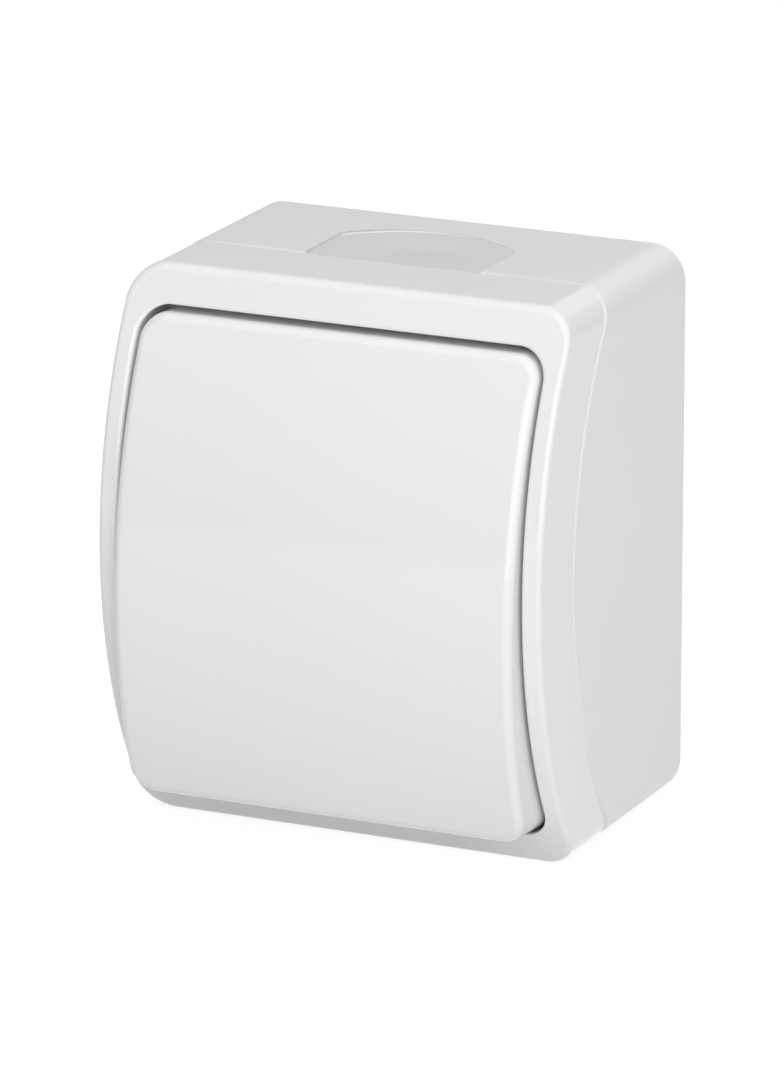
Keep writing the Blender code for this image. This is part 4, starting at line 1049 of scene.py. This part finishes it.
class SWITCH_OT_plunger(Operator):
    """Model the round-nosed plunger and its coil spring"""

    bl_idname = "switch.plunger"
    bl_label = "Plunger and spring"

    def execute(self, context):
        key = settings("key")
        pivot = Vector((0.0, key.pivot_drop - settings("frame").crown - key.proud, pivot_height()))
        place = Matrix.Translation(pivot) @ Matrix.Rotation(key.tilt, 4, "X")
        angles = [math.pi / 2 * n / CORNER_SEGMENTS for n in range(CORNER_SEGMENTS)]
        nose = [(PLUNGER_RADIUS * math.cos(angle), PLUNGER_TIP + PLUNGER_RADIUS * (1 - math.sin(angle)))
                for angle in angles]
        spigot = PLUNGER_SHOULDER + SPIGOT_LENGTH
        pin = turned([(0.0, spigot), (SPIGOT_RADIUS, spigot), (SPIGOT_RADIUS, PLUNGER_SHOULDER),
                      (PLUNGER_RADIUS, PLUNGER_SHOULDER), *nose, (0.0, PLUNGER_TIP)])
        dress(new_piece("plunger_turned", moved(pin, place)), "plunger")
        wire = bmesh.new()
        bmesh.ops.create_circle(wire, cap_ends=True, segments=WIRE_SEGMENTS, radius=SPRING_WIRE,
                                matrix=Matrix.Translation((SPRING_COIL, 0.0, 0.0)))
        wire.faces.ensure_lookup_table()
        wound(wire, wire.faces[0], *SPRING_ENDS, SPRING_TURNS)
        low, high = (place @ Vector((0.0, -out, 0.0)) for out in SPRING_ENDS)
        dress(new_piece("plunger_spring_coil", moved(wire, place)), "plunger_spring",
              across=("rocker", "plunger_pin", high, low))
        return {"FINISHED"}


class SWITCH_OT_inside(Operator):
    """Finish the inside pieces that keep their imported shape: seals, strap, blocks, cradle, contacts"""

    bl_idname = "switch.inside"
    bl_label = "Inside pieces"

    def execute(self, context):
        for part in frame["record"]["subparts"]:
            node = frame["nodes"][part["node"]]
            for material_slot in node.material_slots:
                material_slot.material = finish_for(part["material_slot"])
        return {"FINISHED"}


class SWITCH_OT_stage(Operator):
    """Set the floor, the soft light and the camera"""

    bl_idname = "switch.stage"
    bl_label = "Stage"

    def execute(self, context):
        studio = settings("studio")
        self.floor(studio)
        self.light("main_light", MAIN_LIGHT, studio.main_power)
        self.light("top_light", TOP_LIGHT, studio.top_power)
        self.light("rear_light", REAR_LIGHT, studio.rear_power)
        world = bpy.data.worlds.new("even light")
        sky = Nodes(world)
        seen_strength = studio.world + (1.0 - studio.world) * sky.seen(studio.room_shine)
        sky.fill(sky.tree.nodes["Background"].inputs, {"Color": WHITE, "Strength": seen_strength})
        context.scene.world = world
        context.scene.view_settings.view_transform = "Standard"
        self.camera(context)
        return {"FINISHED"}

    def floor(self, studio):
        bm = bmesh.new()
        bmesh.ops.create_grid(bm, x_segments=FLOOR_CELLS, y_segments=FLOOR_CELLS, size=FLOOR_HALF,
                              matrix=Matrix.Translation((0.0, 0.0, CAD_BOX[0].z)))
        floor = placed("floor", as_mesh("floor", bm))
        finish = Finish("pale floor")
        tree = finish.tree
        mirrored = finish.node("ShaderNodeLightPath", output="Is Glossy Ray")
        glow_strength = studio.floor_glow + studio.floor_shine * mirrored
        glow = finish.node("ShaderNodeEmission", {}, {"Color": WHITE, "Strength": glow_strength})
        dull = finish.node("ShaderNodeBsdfDiffuse", {}, {"Color": shade_of(studio.floor, FLOOR_SEEN)})
        both = finish.node("ShaderNodeAddShader", {}, {0: glow, 1: dull})
        plain = finish.node("ShaderNodeBsdfDiffuse", {}, {"Color": (*studio.floor, 1.0)})
        mixed = finish.node("ShaderNodeMixShader", {}, {0: finish.seen(), 1: plain, 2: both})
        tree.links.new(mixed.socket, tree.nodes["Material Output"].inputs["Surface"])
        tree.nodes.remove(finish.surface)
        floor.data.materials.append(finish.material)

    def light(self, name, setting, energy):
        """A flat soft light that faces the switch from one side and height."""
        side, height, reach, width, tall = setting
        lamp = bpy.data.lights.new(name, "AREA")
        lamp.shape = "RECTANGLE"
        lamp.size, lamp.size_y = width, tall
        lamp.energy = energy
        made = placed(name, lamp)
        turn = Matrix.Rotation(side, 3, "Z") @ Matrix.Rotation(-height, 3, "X")
        made.location = turn @ Vector((0.0, -reach, 0.0))
        made.rotation_euler = (-made.location).to_track_quat("-Z", "Y").to_euler()

    def camera(self, context):
        view = bpy.data.cameras.new("camera")
        view.sensor_width = CAMERA_FILM
        view.lens = CAMERA_LENS
        view.clip_end = CAMERA_REACH
        camera = placed("camera", view)
        camera.location = CAMERA_PLACE
        towards = Vector(CAMERA_TARGET) - camera.location
        camera.rotation_euler = towards.to_track_quat("-Z", "Y").to_euler()
        context.scene.camera = camera


class SWITCH_PT_parts(Panel):
    """The switch's pieces and sizes"""

    bl_idname = "SWITCH_PT_parts"
    bl_label = "Rocker switch"
    bl_space_type = "VIEW_3D"
    bl_region_type = "UI"
    bl_category = "Switch"

    def draw(self, context):
        for group in GROUPS:
            box = self.layout.box()
            box.label(text=group.replace("_", " ").title())
            for key in GROUPS[group].__annotations__:
                box.prop(getattr(context.scene, f"switch_{group}"), key)
        for operator in OPERATORS:
            self.layout.operator(operator.bl_idname)


GROUPS = {
    "casing": CasingSizes,
    "frame": FrameSizes,
    "key": KeySizes,
    "gland": GlandSizes,
    "colours": FinishColours,
    "studio": StudioSettings,
}
OPERATORS = (
    SWITCH_OT_inside,
    SWITCH_OT_rear_box,
    SWITCH_OT_front_frame,
    SWITCH_OT_rocker_key,
    SWITCH_OT_cable_gland,
    SWITCH_OT_screws,
    SWITCH_OT_plunger,
    SWITCH_OT_stage,
)


def register():
    for kind in (*GROUPS.values(), *OPERATORS, SWITCH_PT_parts):
        bpy.utils.register_class(kind)
    for group, kind in GROUPS.items():
        setattr(bpy.types.Scene, f"switch_{group}", PointerProperty(type=kind))


def unregister():
    for group in GROUPS:
        delattr(bpy.types.Scene, f"switch_{group}")
    for kind in (SWITCH_PT_parts, *reversed(OPERATORS), *reversed(list(GROUPS.values()))):
        bpy.utils.unregister_class(kind)


def main():
    register()
    bpy.ops.switch.inside()
    bpy.ops.switch.rear_box()
    bpy.ops.switch.front_frame()
    bpy.ops.switch.rocker_key()
    bpy.ops.switch.cable_gland()
    bpy.ops.switch.screws()
    bpy.ops.switch.plunger()
    bpy.ops.switch.stage()


if __name__ == "__main__":
    main()
